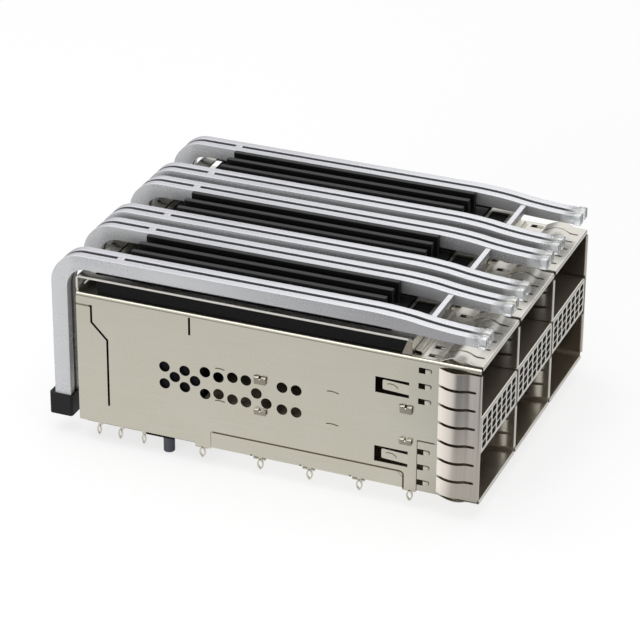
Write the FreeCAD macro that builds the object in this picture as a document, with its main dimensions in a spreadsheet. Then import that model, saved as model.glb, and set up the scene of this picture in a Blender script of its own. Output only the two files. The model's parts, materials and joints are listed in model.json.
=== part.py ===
import FreeCAD, Part
import math
import os
import types
import Sketcher

# A stacked receptacle cage: three columns of two ports, all sizes in millimetres.
# X runs across the columns, Y from the ports at the front to the back, Z up from the board.

document = FreeCAD.newDocument("stacked_cage")
sheet = document.addObject("Spreadsheet::Sheet", "Sizes")

size_rows = [
    ("cage_length", 76.9, "front edge to back plate"),
    ("cage_height", 26.4, "board to top sheet"),
    ("column_pitch", 19.8, "one column to the next"),
    ("sheet_thick", 0.3, "shell, pan, cover and separators"),
    ("divider_thick", 0.4, "walls between the columns"),
    ("fit_gap", 0.03, "play between sheets that lie together"),
    ("bend_inside", 0.3, "inside radius of the folds"),
    # side walls
    ("wall_front", 0.3, "set back inside the spring strip"),
    ("seam_height", 10.25, "wall above, pan flange below, at the front"),
    ("seam_gap", 0.08, "open seam between wall and pan"),
    ("leg_gap", 0.45, "front leg of the wall behind the hook windows"),
    ("leg_long", 2.45, "length of that leg"),
    ("flap_top", 3.45, "wall above, pan flange below, along the middle"),
    ("flap_corner", 1.15, "cut corner of that flange"),
    ("foot_gap", 1.65, "rear foot of the wall before the housing front"),
    ("foot_long", 3.05, "length of that foot"),
    ("rear_clear", 0.65, "rear of the wall above the board"),
    ("vent_radius", 1.02, "round vents"),
    ("latch_gap", 1.65, "latch window behind the front of that leg"),
    ("latch_long", 6.3, "length of the window"),
    ("latch_room", 1.2, "window behind the free end of its tongue"),
    ("latch_window", 2.85, "height of the window"),
    ("latch_tongue", 2.0, "height of the tongue"),
    ("latch_rise", 1.1, "window off the middle of its bay, towards mid height"),
    ("latch_depth", 0.42, "how far the tongue leans in"),
    ("hook_gap", 2.1, "hook windows behind the finger tips"),
    ("hook_long", 1.2, "along the cage"),
    ("hook_wide", 1.15, "across"),
    ("hook_low", 1.88, "lowest hook window above the board"),
    ("hook_step", 3.06, "one hook window to the next"),
    ("slit_wide", 0.42, "fold relief slits at the rear"),
    ("slit_entry", 2.2, "slit below the top at the back edge"),
    ("slit_jog", 2.95, "first bend of the slit from the back"),
    ("slit_run", 6.0, "long run of the slit from the back"),
    ("slit_knee", 5.3, "upper bend below the top"),
    ("slit_lower", 8.4, "lower bend below the top"),
    ("slit_end", 4.5, "end of the slit above the board"),
    ("relief_back", 22.15, "short slit from the back"),
    ("relief_long", 3.5, "its length"),
    ("relief_top", 0.7, "its upper end below the top"),
    # top sheet
    ("port_rim", 1.5, "sheet beside the opening under a heat sink"),
    ("port_gap", 0.9, "opening behind the hook windows"),
    ("port_back", 18.9, "end of the opening from the back"),
    ("lip_inset", 0.1, "raised lip that holds the clip, inside the opening"),
    ("lip_rise", 0.75, "height of the lip over the sheet"),
    ("lip_slope", 0.5, "length of its slope"),
    ("lip_flat", 1.0, "length of its flat"),
    ("top_hook_edge", 1.7, "outer hook windows of the top from the bay walls"),
    # rear cover and dividers
    ("cover_flange", 14.2, "side flanges of the cover from the back"),
    ("slit_room", 0.35, "cover cut back round the slits of the shell"),
    ("cover_shelf", 6.7, "top flange of the cover from the back"),
    ("cover_inset", 0.6, "that flange inside the fold of the shell"),
    # press-in pins
    ("pin_neck", 0.7, "width of the neck"),
    ("pin_eye", 1.1, "width over the springy eye"),
    ("pin_tip", 0.5, "width of the tip"),
    ("pin_shoulder", 0.35, "start of the eye under the board face"),
    ("pin_swell", 0.85, "full width starts"),
    ("pin_taper", 1.45, "full width ends"),
    ("pin_reach", 2.2, "length under the board face"),
    ("eye_slot", 0.55, "width of the eye's slot"),
    ("eye_top", 0.5, "top of the slot"),
    ("eye_bottom", 1.75, "bottom of the slot"),
    ("pin_flap", 22.25, "first flap pin from the front edge"),
    ("pin_flap_last", 35.7, "last flap pin from the back"),
    ("pin_cover_first", 4.0, "cover pins from the back"),
    ("pin_cover_last", 12.7, "last cover pin from the back"),
    ("pin_plate", 5.0, "back plate pins beside the column centre"),
    ("pin_room_wide", 0.6, "pan slots for divider pins"),
    ("pin_room_long", 1.9, "their length"),
    # spring finger strips
    ("spring_thick", 0.12, "spring strip"),
    ("spring_gap", 0.02, "strip off the sheet it clips to"),
    ("spring_hem", 1.2, "start of the slits behind the front edge"),
    ("finger_back", 7.8, "finger tips behind the front edge"),
    ("finger_slit", 0.4, "slits between fingers"),
    ("shoulder_set", 1.4, "shoulder of the fingers before their tips"),
    ("shoulder_rise", 0.69, "how far they stand out there"),
    ("crown_set", 2.9, "crown of the fingers before their tips"),
    ("finger_bow", 1.03, "how far they stand out there"),
    ("hem_set", 5.6, "flat hem, from the tips"),
    ("hem_rise", 0.34, "hem off the sheet"),
    ("inner_back", 6.3, "inner legs behind the front edge"),
    ("inner_bow", 0.3, "divider fingers into the port"),
    ("side_strip_low", 0.9, "side strip above the board"),
    ("side_strip_top", 1.0, "side strip below the top"),
    ("top_strip_gap", 0.3, "top strip off the bay walls"),
    ("divider_strip_end", 0.75, "divider strips off floor and ceiling"),
    ("strip_clear", 0.15, "strips off the separator"),
    # separators
    ("separator_height", 7.2, "between upper and lower port"),
    ("separator_gap", 0.2, "off the bay walls"),
    ("separator_end", 0.3, "end of its flanges before the housing"),
    ("separator_front", 0.05, "set back from the front edge"),
    ("grille_edge", 0.8, "air holes from the sides of the plate"),
    ("grille_edge_z", 0.9, "air holes from its top and bottom"),
    ("grille_wide", 1.8, "air hole width"),
    ("grille_high", 1.02, "air hole height"),
    ("tab_gap", 2.15, "middle of the front tabs behind the front leg of the wall"),
    ("tab_back", 35.8, "rear tabs from the back"),
    ("tab_long", 2.3, "length of a tab"),
    ("tab_room", 0.1, "play round a tab in its slot"),
    ("tab_head", 0.9, "height of a clinched tab head"),
    ("tab_head_thick", 0.25, "its thickness outside the wall"),
    # heat sinks
    ("sink_rim", 0.75, "base off the line of the bay walls"),
    ("sink_gap", 0.18, "base behind the front leg of the clip"),
    ("sink_back", 3.6, "base from the back"),
    ("sink_float", 0.1, "base over the top sheet"),
    ("sink_base", 2.3, "base thickness"),
    ("pedestal_gap", 0.5, "pedestal off the sides of the opening"),
    ("pedestal_set", 5.9, "behind the front of the opening"),
    ("pedestal_end", 0.3, "before its back"),
    ("pedestal_deep", 0.95, "below the base"),
    ("pedestal_chamfer", 0.6, "lead-in at its ends"),
    ("block_gap", 0.7, "step under the fins, off the clip rails"),
    ("block_high", 0.4, "height of the step"),
    ("block_set", 0.5, "behind the front bar of the clip"),
    ("block_end", 2.8, "before the back of the base"),
    ("fin_thick", 1.1, "fins"),
    ("fin_gap", 0.65, "outer fins off the light pipes"),
    ("fin_high", 4.2, "above the step"),
    ("fin_set", 1.7, "behind the front of the step"),
    ("fin_end", 1.7, "before its back"),
    # clips
    ("clip_thick", 0.42, "clip sheet"),
    ("clip_bend", 0.63, "outside radius of the rear bend"),
    ("clip_inset", 0.05, "frame inside the sides of the base"),
    ("clip_rail", 1.7, "width of the side rails"),
    ("clip_gap", 0.1, "front leg behind the lip"),
    ("clip_bar", 4.3, "front bar over the base"),
    ("bar_rim", 0.95, "front of the bar before its window"),
    ("bar_strip", 0.55, "bar behind its window"),
    ("bar_side", 1.7, "bar beside its window, inside the rails"),
    ("ear_gap", 0.1, "front ears off the sides of the base"),
    ("ear_long", 1.5, "foot of an ear along the base"),
    ("ear_top", 0.5, "top of an ear along the base"),
    ("tongue_inset", 1.1, "tongue inside the sides of the lip"),
    ("tongue_gap", 0.2, "tongue off the slope of the lip"),
    ("clip_rear", 0.08, "rear legs behind the back plate"),
    ("clip_rear_bar", 2.6, "rear bar from the back"),
    ("clip_apron", 2.6, "height of the rear apron"),
    ("leg_inset", 0.2, "rear legs inside the sides of the frame"),
    ("leg_wide", 2.6, "width of a rear leg"),
    ("clip_leg_low", 6.4, "end of the rear legs below the top"),
    ("catch_half", 0.5, "half a catch on the back plate"),
    ("catch_drop", 5.5, "catch below the top"),
    ("catch_high", 1.3, "height of a catch"),
    ("catch_deep", 0.95, "how far it stands out"),
    ("catch_room", 0.2, "clip window round a catch"),
    # light pipes
    ("pipe_wide", 1.75, "one pipe"),
    ("pipe_inset", 1.0, "outer edge off the line of the bay walls"),
    ("pipe_step", 2.4, "one pipe of a pair to the other"),
    ("pipe_top", 6.6, "top face over the cage"),
    ("pipe_under", 4.1, "underside over the cage"),
    ("pipe_level", 22.0, "straight run starts behind the front edge"),
    ("pipe_low", 2.0, "slope ends behind the front edge"),
    ("pipe_drop_top", 1.45, "drop of the top face"),
    ("pipe_drop_under", 0.6, "drop of the underside"),
    ("pipe_back", 5.45, "outer face of the rear legs behind the cage"),
    ("pipe_inside", 2.35, "inner face of the rear legs behind the cage"),
    ("pipe_bend", 6.0, "outer bend radius"),
    ("pipe_bend_in", 4.0, "inner bend radius"),
    ("lens_long", 1.45, "length of the lens ends"),
    ("lens_extra", 0.1, "lens wider than the pipe, each side"),
    ("lens_high", 2.0, "lens height"),
    ("lens_low", 3.35, "lens underside over the cage"),
    ("bar_front", 9.5, "cross bar from the front edge"),
    ("bar_ridge", 10.6, "its ridge"),
    ("bar_back", 11.85, "its back"),
    ("bar_top", 5.65, "its top over the cage"),
    ("bar_nose", 4.6, "its front edge over the cage"),
    ("bar_under", 3.95, "its underside over the cage"),
    ("bridge_back", 6.7, "bridge between a pair, from the back"),
    ("bridge_long", 1.3, "its length"),
    ("bridge_under", 0.5, "over the underside of the pipe"),
    ("bridge_top", 0.1, "under the top of the pipe"),
    # light pipe feet
    ("shoe_wall", 0.275, "sides round the legs"),
    ("shoe_wall_front", 0.25, "front wall"),
    ("shoe_wall_back", 1.1, "rear wall"),
    ("shoe_high", 4.3, "height"),
    ("shoe_recess", 1.5, "depth of the recess for the legs"),
    ("shoe_room", 0.05, "play round the legs"),
    ("shoe_chamfer", 0.35, "upright corners"),
    # connector housings
    ("housing_gap", 0.5, "block off the bay walls"),
    ("housing_front", 24.4, "block from the back"),
    ("housing_back", 1.0, "block from the back"),
    ("housing_top", 1.8, "below the top of the cage"),
    ("nose_front", 30.6, "noses from the back"),
    ("nose_inset", 0.5, "noses inside the sides of the block"),
    ("nose_room", 1.8, "space over and under a nose in its bay"),
    ("slot_wall", 0.45, "nose beside a card slot"),
    ("slot_high", 1.6, "height of a card slot"),
    ("slot_deep", 12.0, "depth of a card slot"),
    ("post_radius", 1.05, "guide posts"),
    ("post_inset", 1.3, "posts inside the sides of the block"),
    ("post_back", 16.9, "posts from the back"),
    ("post_reach", 3.6, "length under the board face"),
]

# Vents in each side wall: distance from the back, and rise over mid height.
vents = [
    (42.6, 2.2), (42.6, -2.2), (39.9, 2.2), (39.9, -2.2), (36.9, -1.65), (35.0, 0.0), (33.0, 2.2),
    (33.0, -2.2), (30.4, 2.2), (30.4, -2.2), (27.7, 1.7), (27.7, -1.7), (25.1, 2.2), (25.1, -2.2),
    (23.15, 0.0), (21.15, 1.65), (21.15, -1.65), (19.2, 0.0), (17.2, 1.7), (17.2, -1.7),
]
for number, (back_of, rise) in enumerate(vents, 1):
    size_rows.append(("vent_{:02d}_back".format(number), back_of, "vent from the back"))
    size_rows.append(("vent_{:02d}_rise".format(number), rise, "vent over mid height"))

columns = 3
grille_across = 7
grille_up = 4
side_fingers = 7
top_fingers = 6
divider_fingers = 3
fins = 3
hook_windows = 3
round_sides = 10
top_hooks = 6


class Size:
    # A length together with the formula that gives it from the size sheet.
    def __init__(self, value, text):
        self.value = value
        self.text = text

    def joined(self, sign, other, value):
        return Size(value, "({} {} {})".format(self.text, sign, other.text))

    def __add__(self, other):
        other = as_size(other)
        return self.joined("+", other, self.value + other.value)

    def __radd__(self, other):
        return as_size(other) + self

    def __sub__(self, other):
        other = as_size(other)
        return self.joined("-", other, self.value - other.value)

    def __rsub__(self, other):
        return as_size(other) - self

    def __mul__(self, other):
        other = as_size(other)
        return self.joined("*", other, self.value * other.value)

    def __rmul__(self, other):
        return as_size(other) * self

    def __truediv__(self, other):
        other = as_size(other)
        return self.joined("/", other, self.value / other.value)

    def __neg__(self):
        return Size(-self.value, "(0 - {})".format(self.text))


def as_size(value):
    if isinstance(value, Size):
        return value
    return Size(value, "{:.6f}".format(value))


def fill_sheet():
    named = types.SimpleNamespace()
    for row, (name, value, note) in enumerate(size_rows, 1):
        cell = "B{}".format(row)
        sheet.set("A{}".format(row), name)
        sheet.set(cell, str(value))
        sheet.setAlias(cell, name)
        sheet.set("C{}".format(row), note)
        setattr(named, name, Size(value, "Sizes." + name))
    document.recompute()
    return named


s = fill_sheet()


# Drawing and folding helpers

def bind(thing, path, length):
    thing.setExpression(path, as_size(length).text)


def point(x, y):
    return FreeCAD.Vector(as_size(x).value, as_size(y).value, 0)


def new_body(label):
    body = document.addObject("PartDesign::Body", label)
    body.Label = label
    return body


def origin_feature(body, role):
    for feature in body.Origin.OriginFeatures:
        if feature.Role == role:
            return feature
    raise ValueError(role)


def ring(x, y, radius):
    return {"x": x, "y": y, "radius": radius}


def round_loop(x, y, radius):
    # Small holes that repeat are cut with flat sides.
    loop = []
    for number in range(round_sides):
        turn = 2 * math.pi * (number + 0.5) / round_sides
        loop.append((x + radius * math.cos(turn), y + radius * math.sin(turn)))
    return loop


def box(x_low, x_high, y_low, y_high):
    return [(x_low, y_low), (x_high, y_low), (x_high, y_high), (x_low, y_high)]


def arc_between(here, there, radius):
    # A positive radius turns left on the way, a negative one right.
    chord = there - here
    half = chord.Length / 2
    left = FreeCAD.Vector(-chord.y, chord.x, 0).normalize()
    reach = math.sqrt(max(radius * radius - half * half, 0))
    middle = here + chord * 0.5 + left * (reach if radius > 0 else -reach)
    first, last = (here, there) if radius > 0 else (there, here)
    start = math.atan2(first.y - middle.y, first.x - middle.x)
    end = math.atan2(last.y - middle.y, last.x - middle.x)
    if end < start:
        end += 2 * math.pi
    return Part.ArcOfCircle(Part.Circle(middle, FreeCAD.Vector(0, 0, 1), abs(radius)), start, end)


class Drawing:
    # Collects edges with the rules that tie each corner to the size sheet.
    def __init__(self):
        self.edges = []
        self.rules = []
        self.lengths = {}

    def rule(self, *words):
        self.rules.append(Sketcher.Constraint(*words))

    def measured(self, kind, edge, corner, length):
        length = as_size(length)
        self.lengths[len(self.rules)] = length
        if corner is None:
            self.rule(kind, edge, length.value)
        else:
            self.rule(kind, edge, corner, length.value)

    def add_ring(self, loop):
        edge = len(self.edges)
        middle, radius = point(loop["x"], loop["y"]), as_size(loop["radius"]).value
        self.edges.append(Part.Circle(middle, FreeCAD.Vector(0, 0, 1), radius))
        self.measured("DistanceX", edge, 3, loop["x"])
        self.measured("DistanceY", edge, 3, loop["y"])
        self.measured("Radius", edge, None, loop["radius"])

    def add_outline(self, loop):
        first = len(self.edges)
        ends = []
        for index, corner in enumerate(loop):
            following = loop[(index + 1) % len(loop)]
            here = point(corner[0], corner[1])
            there = point(following[0], following[1])
            if len(corner) == 3:
                radius = as_size(corner[2]).value
                self.edges.append(arc_between(here, there, radius))
                ends.append((1, 2) if radius > 0 else (2, 1))
            else:
                self.edges.append(Part.LineSegment(here, there))
                ends.append((1, 2))
        for index, corner in enumerate(loop):
            edge = first + index
            after = (index + 1) % len(loop)
            self.rule("Coincident", edge, ends[index][1], first + after, ends[after][0])
            self.measured("DistanceX", edge, ends[index][0], corner[0])
            self.measured("DistanceY", edge, ends[index][0], corner[1])
            if len(corner) == 3:
                radius = as_size(corner[2])
                self.measured("Radius", edge, None, radius if radius.value > 0 else -radius)


def sketch(body, plane, height, *loops):
    drawing = Drawing()
    for loop in loops:
        if isinstance(loop, dict):
            drawing.add_ring(loop)
        else:
            drawing.add_outline(loop)
    flat = body.newObject("Sketcher::SketchObject", "Sketch")
    flat.AttachmentSupport = [(origin_feature(body, plane), "")]
    flat.MapMode = "FlatFace"
    bind(flat, "AttachmentOffset.Base.z", height)
    flat.addGeometry(drawing.edges, False)
    flat.addConstraint(drawing.rules)
    for index, length in drawing.lengths.items():
        bind(flat, "Constraints[{}]".format(index), length)
    return flat


def volume_of(body):
    return body.Tip.Shape.Volume if body.Tip is not None else 0.0


def settle(body, feature, before, grows):
    document.recompute()
    gained = feature.Shape.Volume - before
    if "Invalid" in feature.State or (gained <= 0 if grows else gained >= 0):
        raise ValueError("{} of {} changed the volume by {}".format(feature.Name, body.Label, gained))
    return feature


def pad(body, flat, length, centred=False):
    before = volume_of(body)
    feature = body.newObject("PartDesign::Pad", "Pad")
    feature.Profile = flat
    if centred:
        feature.SideType = "Symmetric"
    bind(feature, "Length", length)
    return settle(body, feature, before, True)


def pocket(body, flat, length):
    # Cuts the same depth on both sides of the sketch.
    before = volume_of(body)
    feature = body.newObject("PartDesign::Pocket", "Pocket")
    feature.Profile = flat
    feature.SideType = "Symmetric"
    bind(feature, "Length", length)
    return settle(body, feature, before, False)


def mirrored(body, *features):
    before = volume_of(body)
    feature = body.newObject("PartDesign::Mirrored", "Mirrored")
    feature.Originals = list(features)
    feature.MirrorPlane = (origin_feature(body, "YZ_Plane"), [""])
    body.Tip = feature
    grows = features[0].TypeId == "PartDesign::Pad"
    return settle(body, feature, before, grows)


def repeated(body, features, axis, step, count, second_axis=None, second_step=0, second_count=1):
    # A second direction is at right angles to the first.
    before = volume_of(body)
    feature = body.newObject("PartDesign::LinearPattern", "Pattern")
    feature.Originals = list(features)
    feature.Direction = (origin_feature(body, axis), [""])
    feature.Mode = "Spacing"
    bind(feature, "Offset", step)
    feature.Occurrences = count
    if second_axis:
        feature.Direction2 = (origin_feature(body, second_axis), [""])
        feature.Mode2 = "Spacing"
        bind(feature, "Offset2", second_step)
        feature.Occurrences2 = second_count
        feature.Spacings2 = [-1.0] * (second_count - 1)
    body.Tip = feature
    grows = features[0].TypeId == "PartDesign::Pad"
    return settle(body, feature, before, grows)


def edges_where(feature, chosen):
    names = []
    for number, edge in enumerate(feature.Shape.Edges, 1):
        middle = edge.valueAt((edge.FirstParameter + edge.LastParameter) / 2)
        if chosen(edge, middle):
            names.append("Edge{}".format(number))
    return names


def near(value, length):
    return abs(value - as_size(length).value) < 1e-4


def rounded(body, radius, chosen):
    base = body.Tip
    feature = body.newObject("PartDesign::Fillet", "Fold")
    feature.Base = (base, edges_where(base, chosen))
    bind(feature, "Radius", radius)
    document.recompute()
    return feature


def bevelled(body, width, chosen):
    base = body.Tip
    feature = body.newObject("PartDesign::Chamfer", "Bevel")
    feature.Base = (base, edges_where(base, chosen))
    bind(feature, "Size", width)
    document.recompute()
    return feature


def place(body, x=0, y=0, z=0, turn=None):
    spot = FreeCAD.Vector(as_size(x).value, as_size(y).value, as_size(z).value)
    body.Placement = FreeCAD.Placement(spot, turn if turn is not None else FreeCAD.Rotation())
    bind(body, "Placement.Base.x", x)
    bind(body, "Placement.Base.y", y)
    bind(body, "Placement.Base.z", z)


# Shared positions

half_width = s.column_pitch * 1.5 - s.divider_thick / 2 + s.sheet_thick
half_length = s.cage_length / 2
mid_height = s.cage_height / 2
ceiling = s.cage_height - s.sheet_thick
bay_half = s.column_pitch / 2 - s.divider_thick / 2
separator_low = mid_height - s.separator_height / 2
separator_top = mid_height + s.separator_height / 2
column_places = [s.column_pitch * (number - (columns - 1) / 2) for number in range(columns)]
divider_places = [s.column_pitch * (number - (columns - 2) / 2) for number in range(columns - 1)]
port_half = bay_half - s.port_rim
lip_half = port_half - s.lip_inset
separator_half = bay_half - s.separator_gap
sink_half = bay_half - s.sink_rim
clip_half = sink_half - s.clip_inset
clip_inner = clip_half - s.clip_rail
clip_leg_out = clip_half - s.leg_inset
clip_leg_in = clip_leg_out - s.leg_wide
catch_side = (clip_leg_out + clip_leg_in) / 2
pipe_outer = bay_half - s.pipe_inset
pipe_inner = pipe_outer - s.pipe_step - s.pipe_wide
fin_step = pipe_inner - s.fin_gap - s.fin_thick / 2

hook_front = s.finger_back + s.hook_gap
leg_front = hook_front + s.hook_long + s.leg_gap
leg_back = leg_front + s.leg_long
latch_front = leg_front + s.latch_gap
latch_back = latch_front + s.latch_long
latch_free = latch_back - s.latch_room
tab_front = leg_front + s.tab_gap
pin_front = (leg_front + leg_back) / 2
foot_front = s.housing_front + s.foot_gap
foot_back = foot_front - s.foot_long
pin_foot = (foot_front + foot_back) / 2
port_front = hook_front + s.hook_long / 2 + s.port_gap
lip_end = port_front + s.lip_slope + s.lip_flat
clip_front = lip_end + s.clip_gap
sink_front = clip_front + s.clip_thick + s.sink_gap
clip_bar = sink_front + s.clip_bar
block_front = clip_bar + s.block_set
block_back = s.sink_back + s.block_end
lower_latch = (s.sheet_thick + separator_low) / 2 + s.latch_rise
upper_latch = (separator_top + ceiling) / 2 - s.latch_rise
flap_pins = [s.pin_flap + (s.cage_length - s.pin_flap_last - s.pin_flap) * share for share in (0, 0.5, 1)]


def front(distance):
    return distance - half_length


def back(distance):
    return half_length - distance


def pin_loops(at, root, eyed=True):
    neck, eye, tip = s.pin_neck / 2, s.pin_eye / 2, s.pin_tip / 2
    outline = [
        (at - neck, root), (at - neck, -s.pin_shoulder), (at - eye, -s.pin_swell),
        (at - eye, -s.pin_taper), (at - tip, -s.pin_reach), (at + tip, -s.pin_reach),
        (at + eye, -s.pin_taper), (at + eye, -s.pin_swell), (at + neck, -s.pin_shoulder), (at + neck, root),
    ]
    if not eyed:
        return [outline]
    middle, half = -(s.eye_top + s.eye_bottom) / 2, s.eye_slot / 2
    slot = [(at, -s.eye_top), (at + half, middle), (at, -s.eye_bottom), (at - half, middle)]
    return [outline, slot]


def wall_pins(body, x_low, thickness, places, root, eyed=True):
    drawn = [sketch(body, "YZ_Plane", x_low, *pin_loops(at, root, eyed)) for at in places]
    return [pad(body, flat, thickness) for flat in drawn]


# Cage shell: top sheet and both side walls from one folded sheet

def tab_slots(slot_high):
    loops = []
    for at in (front(tab_front), back(s.tab_back)):
        for level in (separator_low + s.sheet_thick / 2, separator_top - s.sheet_thick / 2):
            half = s.tab_long / 2 + s.tab_room
            loops.append(box(at - half, at + half, level - slot_high / 2, level + slot_high / 2))
    return loops


def slit_path(half, inner_top, outer_top):
    knee, lower = s.cage_height - s.slit_knee, s.cage_height - s.slit_lower
    jog, run = back(s.slit_jog), back(s.slit_run)
    return [
        (jog + half, inner_top), (jog + half, knee - half), (run + half, lower - half),
        (run + half, s.slit_end), (run - half, s.slit_end), (run - half, lower), (jog - half, knee),
        (jog - half, outer_top),
    ]


def make_shell():
    body = new_body("cage_shell")
    wall_y, end_y = front(s.wall_front), back(0)
    lid = box(-half_width, half_width, wall_y, end_y)
    pad(body, sketch(body, "XY_Plane", ceiling, lid), s.sheet_thick)
    seam = s.seam_height + s.seam_gap / 2
    flap = s.flap_top + s.seam_gap / 2
    corner = s.flap_corner + s.seam_gap * (2 - math.sqrt(2))
    outline = [
        (wall_y, s.cage_height), (wall_y, seam), (front(leg_front), seam), (front(leg_front), 0),
        (front(leg_back), 0), (front(leg_back), flap - corner), (front(leg_back) + corner, flap),
        (back(foot_front), flap), (back(foot_front), 0),
        (back(foot_back), 0), (back(foot_back), s.rear_clear), (end_y, s.rear_clear), (end_y, s.cage_height),
    ]
    wall = pad(body, sketch(body, "YZ_Plane", -half_width, outline), s.sheet_thick)
    pins = wall_pins(body, -half_width, s.sheet_thick, [front(pin_front), back(pin_foot)], s.pin_shoulder)
    mirrored(body, wall, *pins)
    inner_x, outer_x = half_width - s.sheet_thick, half_width
    rounded(body, s.bend_inside, lambda edge, m: near(abs(m.x), inner_x) and near(m.z, ceiling))
    rounded(body, s.bend_inside + s.sheet_thick,
            lambda edge, m: near(abs(m.x), outer_x) and near(m.z, s.cage_height))

    across = half_width * 2 + 2
    holes = []
    for number in range(1, len(vents) + 1):
        back_of = getattr(s, "vent_{:02d}_back".format(number))
        rise = getattr(s, "vent_{:02d}_rise".format(number))
        holes.append(round_loop(back(back_of), mid_height + rise, s.vent_radius))
    for start in range(0, len(holes), 3):
        pocket(body, sketch(body, "YZ_Plane", 0, *holes[start:start + 3]), across)

    levels = [lower_latch, upper_latch]
    windows = []
    for level in levels:
        windows.append(box(front(latch_front), front(latch_back),
                           level - s.latch_window / 2, level + s.latch_window / 2))
    for number in range(hook_windows):
        level = s.cage_height - s.hook_low - s.hook_step * number
        windows.append(box(front(hook_front), front(hook_front + s.hook_long),
                           level - s.hook_wide / 2, level + s.hook_wide / 2))
    pocket(body, sketch(body, "YZ_Plane", 0, *windows), across)
    pocket(body, sketch(body, "YZ_Plane", 0, *tab_slots(s.sheet_thick + s.tab_room * 2)), across)

    half = s.slit_wide / 2
    entry = s.cage_height - s.slit_entry
    slit = slit_path(half, entry - half, entry + half)
    slit = [(back(-1), entry - half)] + slit + [(back(-1), entry + half)]
    relief = back(s.relief_back)
    relief_top = s.cage_height - s.relief_top
    short = box(relief - half, relief + half, relief_top - s.relief_long, relief_top)
    pocket(body, sketch(body, "YZ_Plane", 0, slit, short), across)

    tongues = []
    for level in levels:
        root, free = front(latch_front - s.sheet_thick), front(latch_free)
        lean = [(-half_width, root), (-half_width + s.sheet_thick, root),
                (-half_width + s.sheet_thick + s.latch_depth, free), (-half_width + s.latch_depth, free)]
        tongues.append(pad(body, sketch(body, "XY_Plane", level - s.latch_tongue / 2, lean), s.latch_tongue))
    mirrored(body, *tongues)

    first = column_places[0]
    opening = box(first - port_half, first + port_half, front(port_front), back(s.port_back))
    cut = pocket(body, sketch(body, "XY_Plane", s.cage_height, opening), s.sheet_thick * 4)
    repeated(body, [cut], "X_Axis", s.column_pitch, columns)
    low, high = ceiling, ceiling + s.lip_rise
    root, rise, end = front(port_front), front(port_front + s.lip_slope), front(lip_end)
    lip = [
        (root - s.lip_slope, low), (root, low), (rise, high), (end, high), (end, high + s.sheet_thick),
        (rise - s.sheet_thick / 2, high + s.sheet_thick), (root - s.sheet_thick / 2, low + s.sheet_thick),
        (root - s.lip_slope, low + s.sheet_thick),
    ]
    lip_pad = pad(body, sketch(body, "YZ_Plane", first, lip), lip_half * 2, centred=True)
    repeated(body, [lip_pad], "X_Axis", s.column_pitch, columns)
    hooks = []
    hook_step = (bay_half - s.top_hook_edge) * 2 / (top_hooks - 1)
    for number in range(top_hooks):
        hook_x = first + hook_step * (number - (top_hooks - 1) / 2)
        hooks.append(box(hook_x - s.hook_wide / 2, hook_x + s.hook_wide / 2,
                         front(hook_front - s.hook_long / 2), front(hook_front + s.hook_long / 2)))
    hook_cut = pocket(body, sketch(body, "XY_Plane", s.cage_height, *hooks), s.sheet_thick * 4)
    repeated(body, [hook_cut], "X_Axis", s.column_pitch, columns)
    return body


# Bottom pan: floor, front flanges and the long flap flanges

def make_pan():
    body = new_body("bottom_pan")
    clear = half_width - s.sheet_thick - s.bend_inside - s.seam_gap
    wall_y, floor_end = front(s.wall_front), back(foot_front + s.seam_gap)
    gap_front, gap_back = front(leg_front - s.seam_gap), front(leg_back + s.seam_gap)
    floor = [
        (-half_width, wall_y), (half_width, wall_y), (half_width, gap_front), (clear, gap_front),
        (clear, gap_back), (half_width, gap_back), (half_width, floor_end), (-half_width, floor_end),
        (-half_width, gap_back), (-clear, gap_back), (-clear, gap_front), (-half_width, gap_front),
    ]
    pad(body, sketch(body, "XY_Plane", 0, floor), s.sheet_thick)
    seam, flap = s.seam_height - s.seam_gap / 2, s.flap_top - s.seam_gap / 2
    front_flange = box(wall_y, gap_front, 0, seam)
    flap_flange = [(gap_back, 0), (floor_end, 0), (floor_end, flap), (gap_back + s.flap_corner, flap),
                   (gap_back, flap - s.flap_corner)]
    flanges = [pad(body, sketch(body, "YZ_Plane", -half_width, loop), s.sheet_thick)
               for loop in (front_flange, flap_flange)]
    mirrored(body, *flanges)
    inner_x = half_width - s.sheet_thick
    rounded(body, s.bend_inside, lambda edge, m: near(abs(m.x), inner_x) and near(m.z, s.sheet_thick))
    rounded(body, s.bend_inside + s.sheet_thick, lambda edge, m: near(abs(m.x), half_width) and near(m.z, 0))
    pins = wall_pins(body, -half_width, s.sheet_thick, [front(at) for at in flap_pins],
                     s.bend_inside + s.sheet_thick * 2)
    mirrored(body, *pins)
    across = half_width * 2 + 2
    hooks = []
    for number in range(hook_windows):
        level = s.hook_low + s.hook_step * number
        hooks.append(box(front(hook_front), front(hook_front + s.hook_long),
                         level - s.hook_wide / 2, level + s.hook_wide / 2))
    pocket(body, sketch(body, "YZ_Plane", 0, *hooks), across)
    rooms = []
    for x in divider_places:
        for at in [pin_front] + flap_pins:
            rooms.append(box(x - s.pin_room_wide / 2, x + s.pin_room_wide / 2,
                             front(at - s.pin_room_long / 2), front(at + s.pin_room_long / 2)))
    pocket(body, sketch(body, "XY_Plane", 0, *rooms), s.sheet_thick * 4)
    return body


# Rear cover: back plate, flanges inside the walls and under the top, catches for the clips

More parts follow.
